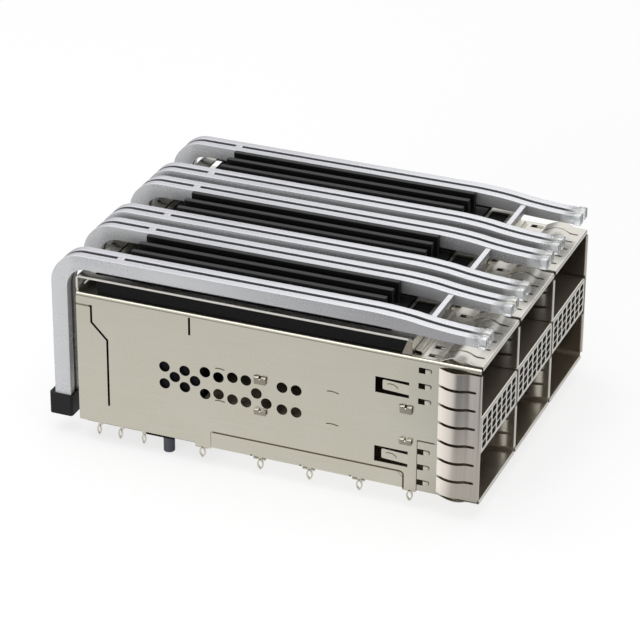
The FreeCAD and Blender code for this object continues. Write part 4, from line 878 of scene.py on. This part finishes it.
def makeLightPipe(number, x):
    p = lightPipe
    shapes = [pipeRun(x + edge) for edge in p["edges"]]
    blocks = [((edge - p["lensExtra"], frontY, p["lensLow"]),
               (edge + p["wide"] + p["lensExtra"], frontY + p["lensLong"], p["lensLow"] + p["lensHigh"]),
               p["lensEdge"])
              for edge in p["edges"]]
    blocks.append(((-p["barHalf"], frontY + p["barFrom"], p["barLow"]),
                   (p["barHalf"], frontY + p["barTo"], p["barHigh"]), p["barEdge"]))
    blocks += [((start, backY - p["linkFrom"], p["under"] + p["linkUp"]),
                (start + p["linkWide"], backY - p["linkTo"], p["top"] - p["linkDown"]), p["linkEdge"])
               for start in p["linkAt"]]
    for low, high, soft in blocks:
        block = blockFrom((x + low[0],) + low[1:], (x + high[0],) + high[1:])
        softenEdges(block, soft, 2)
        shapes.append(block)
    piece = objectFrom("light_pipe_moulding_%d" % number, shapes[0])
    withTools(piece, [("UNION", shape) for shape in shapes[1:]])
    finishPiece(piece, pipePlastic, "cage", ["light_pipe_%d" % number], 35)


for number, x in enumerate(columnX, 1):
    makeLightPipe(number, x)
print("light pipes ready")


# heat sinks, housings, clips and feet: the CAD shapes with the broken edges that catch the light

softEdge = {"heatSink": 0.14, "clip": 0.06, "foot": 0.18, "housing": 0.15, "ledge": 0.05}
sinkBase = {"top": 29.1}
guidePost = {"root": -0.1, "low": -3.0, "shorter": 0.24}
clipBend = {"low": 26.6, "high": 28.8, "earBack": 16.5}   # the clip's heights between the cage and the heat sink, and where its ears end
ledge = {"from": 58.3, "to": 63.8, "outer": 29.45, "inner": 28.6, "high": 0.6}


def softCopy(name, newName, width, material, body):
    piece = objectFrom(newName, nodeCopy(name))
    addModifier(piece, "BEVEL", width=width * mm, segments=2, limit_method="ANGLE", angle_limit=math.radians(40),
                profile=0.5)
    addModifier(piece, "WEIGHTED_NORMAL", keep_sharp=True)
    piece.data.shade_smooth()
    settleModifiers(piece)
    piece.data.materials.clear()
    piece.data.materials.append(material)
    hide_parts(name)
    if body:
        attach(piece, body)
    return piece


for number in (1, 2, 3):
    sink = softCopy("heat_sink_%d" % number, "heat_sink_black_%d" % number, softEdge["heatSink"], blackAnodised,
                    "sink_%d" % number)
    refinish(sink, sawnAnodised, lambda middle, normal: middle.z < sinkBase["top"])
    block = softCopy("connector_housing_%d" % number, "connector_block_%d" % number, softEdge["housing"],
                     housingPlastic, "cage")
    # the guide posts are a paler moulding, a little shorter than drawn
    refinish(block, postPlastic, lambda middle, normal: middle.z < guidePost["root"])
    for point in block.data.vertices:
        point.co.z += guidePost["shorter"] * mm * (point.co.z < guidePost["low"] * mm)
    clip = softCopy("heat_sink_clip_%d" % number, "heat_sink_spring_%d" % number, softEdge["clip"], springSteel,
                    None)
    # painted shade: the ears' sides take the darker copy of the plate, as they stand in the shade of the pipes
    earBack = frontY + clipBend["earBack"]
    refinish(clip, nickelPaintedShade, lambda middle, normal: abs(normal.x) > 0.9 and middle.y < earBack)
    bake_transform(clip)
for number in range(1, 7):
    softCopy("light_pipe_foot_%d" % number, "pipe_foot_%d" % number, softEdge["foot"], footPlastic, "cage")
for side, name in sides:
    near, far = sorted((side * ledge["outer"], side * ledge["inner"]))
    shape = blockFrom((near, frontY + ledge["from"], 0), (far, frontY + ledge["to"], ledge["high"]))
    softenEdges(shape, softEdge["ledge"], 2)
    addPiece("housing_ledge_" + name, shape, housingPlastic)
print("heat sinks, clips and feet ready")


# camera at the photograph's angle, for a square picture

cameraSet = {"place": (-0.45757, -0.17964, 0.26934), "azimuth": -68.202, "elevation": 27.43, "roll": 0.405,
             "lens": 169.08, "sensor": 36, "nearest": 0.01}


def makeCamera():
    a, e, r = (math.radians(cameraSet[name]) for name in ("azimuth", "elevation", "roll"))
    behind = Vector((math.sin(a) * math.cos(e), -math.cos(a) * math.cos(e), math.sin(e)))
    across = (-behind).cross(up).normalized()
    down = (-behind).cross(across).normalized()
    turnedAcross = across * math.cos(r) - down * math.sin(r)
    turnedDown = across * math.sin(r) + down * math.cos(r)
    data = bpy.data.cameras.new("camera")
    data.lens = cameraSet["lens"]
    data.sensor_width = cameraSet["sensor"]
    data.clip_start = cameraSet["nearest"]
    camera = bpy.data.objects.new("camera", data)
    camera.matrix_world = axes(turnedAcross, -turnedDown, behind, cameraSet["place"])
    bpy.context.scene.collection.objects.link(camera)
    bpy.context.scene.camera = camera


makeCamera()


# floor, backdrop and soft light, in metres apart from the floor's height; a zone has an axis, its start and end there
# and its share at both

studio = {"floorZ": -3.6, "floorHalf": 0.9, "floorWhite": 0.74, "cornerTint": (0.85, 0.95, 1.2, 1),
          "worldLight": 0.55, "horizon": (0.12, 0.36, 0.25, 1.0),
          "zones": {"near": ("Y", -0.02, -0.034, 0.0, 0.36), "ahead": ("Y", -0.002, -0.03, 0.0, 1.0),
                    "left": ("X", -0.044, -0.08, 0.0, 0.33), "far": ("away", 0.12, 0.2, 1.0, 0.25)}}
lamps = {"overhead": {"place": (-0.05, 0.05, 0.7), "target": (0, 0, 0), "size": (0.9, 0.7), "mirrored": True},
         # fills the shade and stays out of the metal
         "side": {"place": (-0.75, 0.15, 0.16), "target": (0, 0, 0.02), "size": (0.5, 0.25), "mirrored": False}}
lampPower = 3.6
rangeSockets = ("From Min", "From Max", "To Min", "To Max")


def makeFloor():
    # matt white paper: no gloss, a soft shadow
    shape = bmesh.new()
    bmesh.ops.create_grid(shape, x_segments=2, y_segments=2, size=studio["floorHalf"] / mm)
    bmesh.ops.translate(shape, vec=(0, 0, studio["floorZ"]), verts=shape.verts)
    floor = objectFrom("floor", shape)
    material, tree, shader, place = newMaterial("paperWhiteMatt", Roughness=0.9)
    shader.inputs["Base Color"].default_value = linear("#f2f2f2")
    path = addNode(tree, "LightPath", out=None)
    # painted reflection: only the metal sees the paper darker in front on the left and far off, and bluer in that
    # corner, which shows as bands on springs and folds
    at = dict(addNode(tree, "SeparateXYZ", {0: place}, None).items())
    at["away"] = addNode(tree, "VectorMath", {0: place}, "Value", operation="LENGTH")
    share = {name: addNode(tree, "MapRange", {"Value": at[axis], **dict(zip(rangeSockets, span))},
                           interpolation_type="SMOOTHSTEP") for name, (axis, *span) in studio["zones"].items()}
    corner = addNode(tree, "Math", {0: share["ahead"], 1: share["left"]}, operation="MULTIPLY")
    dim = addNode(tree, "Math", {0: share["near"], 1: corner}, operation="ADD")
    bright = addNode(tree, "Math", {0: 1.0, 1: dim}, operation="SUBTRACT")
    lit = addNode(tree, "Math", {0: bright, 1: share["far"]}, operation="MULTIPLY")
    tint = addNode(tree, "Mix", {"Factor": corner, 6: (1, 1, 1, 1), 7: studio["cornerTint"]}, 2, data_type="RGBA")
    mirrored = addNode(tree, "Emission", {"Color": tint, "Strength": lit})
    white = addNode(tree, "Emission", {"Color": (1, 1, 1, 1), "Strength": 1.0})
    plain = shader.outputs[0]
    seen = addNode(tree, "MixShader", {0: studio["floorWhite"], 1: plain, 2: white})   # the rest keeps the shadow
    looked = addNode(tree, "Math", {0: path["Is Camera Ray"], 1: path["Is Transmission Ray"]}, operation="MAXIMUM")
    direct = addNode(tree, "MixShader", {0: looked, 1: plain, 2: seen})
    both = addNode(tree, "MixShader", {0: path["Is Glossy Ray"], 1: direct, 2: mirrored})
    tree.links.new(both, tree.nodes["Material Output"].inputs["Surface"])
    floor.data.materials.append(material)


def makeWorld():
    world = bpy.data.worlds.new("studio")
    bpy.context.scene.world = world
    world.use_nodes = True
    tree = world.node_tree
    path = addNode(tree, "LightPath", out=None)
    seen = addNode(tree, "Math", {0: path["Is Camera Ray"], 1: path["Is Transmission Ray"]}, operation="MAXIMUM")
    plain = addNode(tree, "Math", {0: seen, 1: studio["worldLight"]}, operation="MAXIMUM")
    # metal sees the same dim horizon under the white
    rise = addNode(tree, "SeparateXYZ", {0: addNode(tree, "TexCoord", out="Generated")}, "Z")
    above = addNode(tree, "MapRange", {"Value": rise, **dict(zip(rangeSockets, studio["horizon"]))})
    strength = addNode(tree, "Mix", {"Factor": path["Is Glossy Ray"], 2: plain, 3: above})
    background = tree.nodes["Background"]
    background.inputs["Color"].default_value = (1, 1, 1, 1)
    tree.links.new(strength, background.inputs["Strength"])


def makeSoftbox(name, lamp):
    data = bpy.data.lights.new(name, "AREA")
    data.shape = "RECTANGLE"
    data.size, data.size_y = lamp["size"]
    data.energy = lampPower
    box = bpy.data.objects.new(name, data)
    aim = (Vector(lamp["place"]) - Vector(lamp["target"])).to_track_quat("Z", "Y")
    box.matrix_world = Matrix.Translation(lamp["place"]) @ aim.to_matrix().to_4x4()
    box.visible_glossy = lamp["mirrored"]
    bpy.context.scene.collection.objects.link(box)


makeFloor()
makeWorld()
for name, lamp in lamps.items():
    makeSoftbox(name, lamp)
bpy.context.scene.view_settings.view_transform = "Standard"
print("studio ready")
